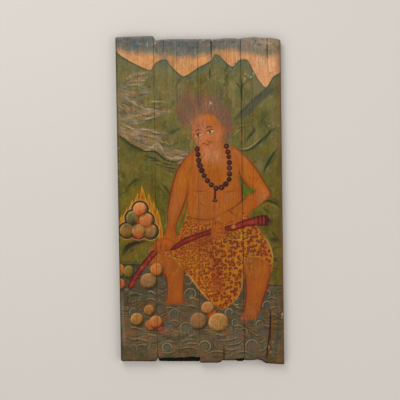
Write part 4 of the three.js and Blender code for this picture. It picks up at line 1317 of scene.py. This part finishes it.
def noise(tree, across, along, deep, detail=2.0):
    place = in_mm(tree, across, along, deep)
    made = node(tree, "ShaderNodeTexNoise", {"Vector": place, "Scale": 1.0, "Detail": detail})
    return made.outputs["Fac"]


def between(tree, value, low, high, to_low=0.0, to_high=1.0):
    sockets = {"Value": value, "From Min": low, "From Max": high, "To Min": to_low, "To Max": to_high}
    return node(tree, "ShaderNodeMapRange", sockets).outputs["Result"]


def times(tree, first, second, operation="MULTIPLY"):
    return node(tree, "ShaderNodeMath", {0: first, 1: second}, operation=operation).outputs[0]


def mixed(tree, factor, first, second, blend="MIX"):
    made = node(tree, "ShaderNodeMix", data_type="RGBA", blend_type=blend)
    for socket, value in ((made.inputs[0], factor), (made.inputs[6], first), (made.inputs[7], second)):
        if isinstance(value, bpy.types.NodeSocket):
            tree.links.new(value, socket)
        else:
            socket.default_value = value
    return made.outputs[2]


def painted_wood():
    # Distemper paint on softwood boards, laid on a thin chalk ground with a soft brush and never
    # varnished: it is matt, the grain of the wood shows through it as fine upright streaks, and
    # the ground has shrunk into small cracks that run with the grain.
    material, tree, surface = new_material("aged_distemper_paint")
    paint = node(tree, "ShaderNodeAttribute", attribute_name="paint")
    grain = noise(tree, 1.6, 40, 20)
    fine = noise(tree, 0.8, 5, 5, 1.0)
    cells = node(tree, "ShaderNodeTexVoronoi", {"Vector": in_mm(tree, 2.6, 8, 8), "Scale": 1.0},
                 feature="DISTANCE_TO_EDGE").outputs["Distance"]
    cracks = between(tree, cells, 0.0, 0.07, 1.0, 0.0)
    worn_places = between(tree, noise(tree, 30, 60, 30), 0.48, 0.66)
    cracked = times(tree, cracks, between(tree, worn_places, 0.0, 1.0, 0.15, 0.6))
    streaky = mixed(tree, 1.0, paint.outputs["Color"], between_grey(tree, grain, 0.3, 0.7, 0.86, 1.14),
        "MULTIPLY")
    speckled = mixed(tree, 1.0, streaky, between_grey(tree, fine, 0.3, 0.7, 0.92, 1.08), "MULTIPLY")
    colour = mixed(tree, times(tree, cracked, 0.5), speckled, shade("#2b2114"))
    tree.links.new(colour, surface.inputs["Base Color"])
    rough = between(tree, grain, 0.3, 0.7, 0.5, 0.64)
    bare = between(tree, paint.outputs["Alpha"], 0.0, 1.0, 0.25, 0.0)
    tree.links.new(times(tree, rough, bare, "ADD"), surface.inputs["Roughness"])
    surface.inputs["Specular IOR Level"].default_value = 0.18
    height = times(tree, times(tree, grain, 0.5), times(tree, cracks, -0.5), "ADD")
    bump = node(tree, "ShaderNodeBump", {"Height": height, "Strength": 0.35, "Distance": 0.25 * MM})
    tree.links.new(bump.outputs["Normal"], surface.inputs["Normal"])
    return material


def between_grey(tree, value, low, high, dark, light):
    level = between(tree, value, low, high, dark, light)
    return node(tree, "ShaderNodeCombineColor", {"Red": level, "Green": level,
        "Blue": level}).outputs["Color"]


def bare_wood():
    # Softwood split and trued with an adze, then left bare: its growth rings show as bands along
    # the back and as arcs on the end grain, and centuries of smoke and handling have browned it.
    material, tree, surface = new_material("aged_bare_softwood")
    place = in_mm(tree, 1, 1, 1)
    apart = node(tree, "ShaderNodeSeparateXYZ", {"Vector": place})
    drift = times(tree, noise(tree, 40, 500, 40), 34)
    across = times(tree, apart.outputs["X"], drift, "ADD")
    depth = times(tree, apart.outputs["Z"], 46, "ADD")
    sideways = times(tree, across_wrapped(tree, across), 2, "POWER")
    radius = times(tree, times(tree, sideways, times(tree, depth, 2, "POWER"), "ADD"), 0.5, "POWER")
    ring = times(tree, times(tree, radius, 2.2), 0.5, "SINE")
    band = between(tree, ring, -1.0, 1.0)
    light = mixed(tree, band, shade("#6b5537"), shade("#4b3924"))
    streaks = between_grey(tree, noise(tree, 1.2, 60, 1.2), 0.3, 0.7, 0.75, 1.2)
    brown = mixed(tree, 1.0, light, streaks, "MULTIPLY")
    dirt = between(tree, noise(tree, 45, 130, 45, 3.0), 0.45, 0.7, 0.0, 0.6)
    tree.links.new(mixed(tree, dirt, brown, shade("#2a2015")), surface.inputs["Base Color"])
    surface.inputs["Roughness"].default_value = 0.78
    surface.inputs["Specular IOR Level"].default_value = 0.3
    bump = node(tree, "ShaderNodeBump", {"Height": band, "Strength": 0.3, "Distance": 0.3 * MM})
    tree.links.new(bump.outputs["Normal"], surface.inputs["Normal"])
    return material


def across_wrapped(tree, across):
    """Each board was sawn from its own tree, so the pith repeats once a board"""
    sockets = {0: across, 1: 62.0, 2: -62.0}
    return node(tree, "ShaderNodeMath", sockets, operation="WRAP").outputs[0]


def make_panel():
    finishes = painted_wood(), bare_wood()
    made = {name: board_mesh(name) for name in NODES}
    together = {key: np.concatenate([made[name][1][key] for name in NODES]) for key in made[NODES[0]][1]}
    picture = Picture(together["x"], together["y"])
    picture.to_top, picture.to_foot = together["to_top"], together["to_foot"]
    picture.to_left, picture.to_right = together["to_left"], together["to_right"]
    paint_all(picture)
    # the losses take the dark wood colour, with painted shade of the recess in it
    picture.colour[together["lost"]] = rgb(LOST_WOOD_IN_SHADE)
    values = np.ones((len(picture.x), 4))
    values[:, :3] = (linear(picture.colour.clip(0, 1)) - HAZE).clip(0.002, 1)
    values[:, 3] = ~together["lost"]
    first = 0
    for name in NODES:
        mesh = made[name][0]
        count = len(mesh.vertices)
        paint = mesh.color_attributes.new("paint", "FLOAT_COLOR", "POINT")
        paint.data.foreach_set("color", values[first:first + count].ravel())
        first += count
        for finish in finishes:
            mesh.materials.append(finish)
        piece = bpy.data.objects.new(name + "_painted", mesh)
        bpy.context.collection.objects.link(piece)
        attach(piece, "root")
        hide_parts(name)


def make_stage():
    # A plain matt paper sheet
    material, _, surface = new_material("pale_matt_paper")
    surface.inputs["Base Color"].default_value = shade("#cdcac4")
    surface.inputs["Roughness"].default_value = 0.9
    bm = bmesh.new()
    bmesh.ops.create_grid(bm, x_segments=1, y_segments=1, size=6)
    bmesh.ops.translate(bm, verts=bm.verts, vec=(0, 0, -0.0005))
    mesh = bpy.data.meshes.new("floor")
    bm.to_mesh(mesh)
    bm.free()
    mesh.materials.append(material)
    floor = bpy.data.objects.new("floor", mesh)
    bpy.context.collection.objects.link(floor)
    world = bpy.data.worlds.new("studio")
    world.use_nodes = True
    sky = world.node_tree.nodes["Background"]
    sky.inputs["Color"].default_value = shade("#fbf5f1")
    sky.inputs["Strength"].default_value = 0.62
    bpy.context.scene.world = world
    lights = ((-0.9, 1.9, 2.0, 1.6, 35), (1.7, -0.5, 2.2, 1.8, 16), (-1.6, -1.2, 2.2, 1.8, 11))
    for across, along, up, size, power in lights:
        data = bpy.data.lights.new("softbox", "AREA")
        data.size, data.energy = size, power
        lamp = bpy.data.objects.new("softbox", data)
        lamp.location = (across, along, up)
        aim = -lamp.location
        lamp.rotation_euler = aim.to_track_quat("-Z", "Y").to_euler()
        bpy.context.collection.objects.link(lamp)
    bpy.context.scene.view_settings.view_transform = "Standard"


def make_camera():
    # A long lens straight above, turned a little, as the photograph sees the panel's face
    data = bpy.data.cameras.new("camera")
    data.lens, data.sensor_width = 80, 36
    seen = 1120  # millimetres of the panel's plane across the picture
    camera = bpy.data.objects.new("camera", data)
    height = seen / data.sensor_width * data.lens + THICKNESS
    camera.location = (-0.8 * MM, 1.1 * MM, height * MM)
    camera.rotation_euler = (0, 0, math.radians(-0.845))
    bpy.context.collection.objects.link(camera)
    bpy.context.scene.camera = camera


make_panel()
make_stage()
make_camera()
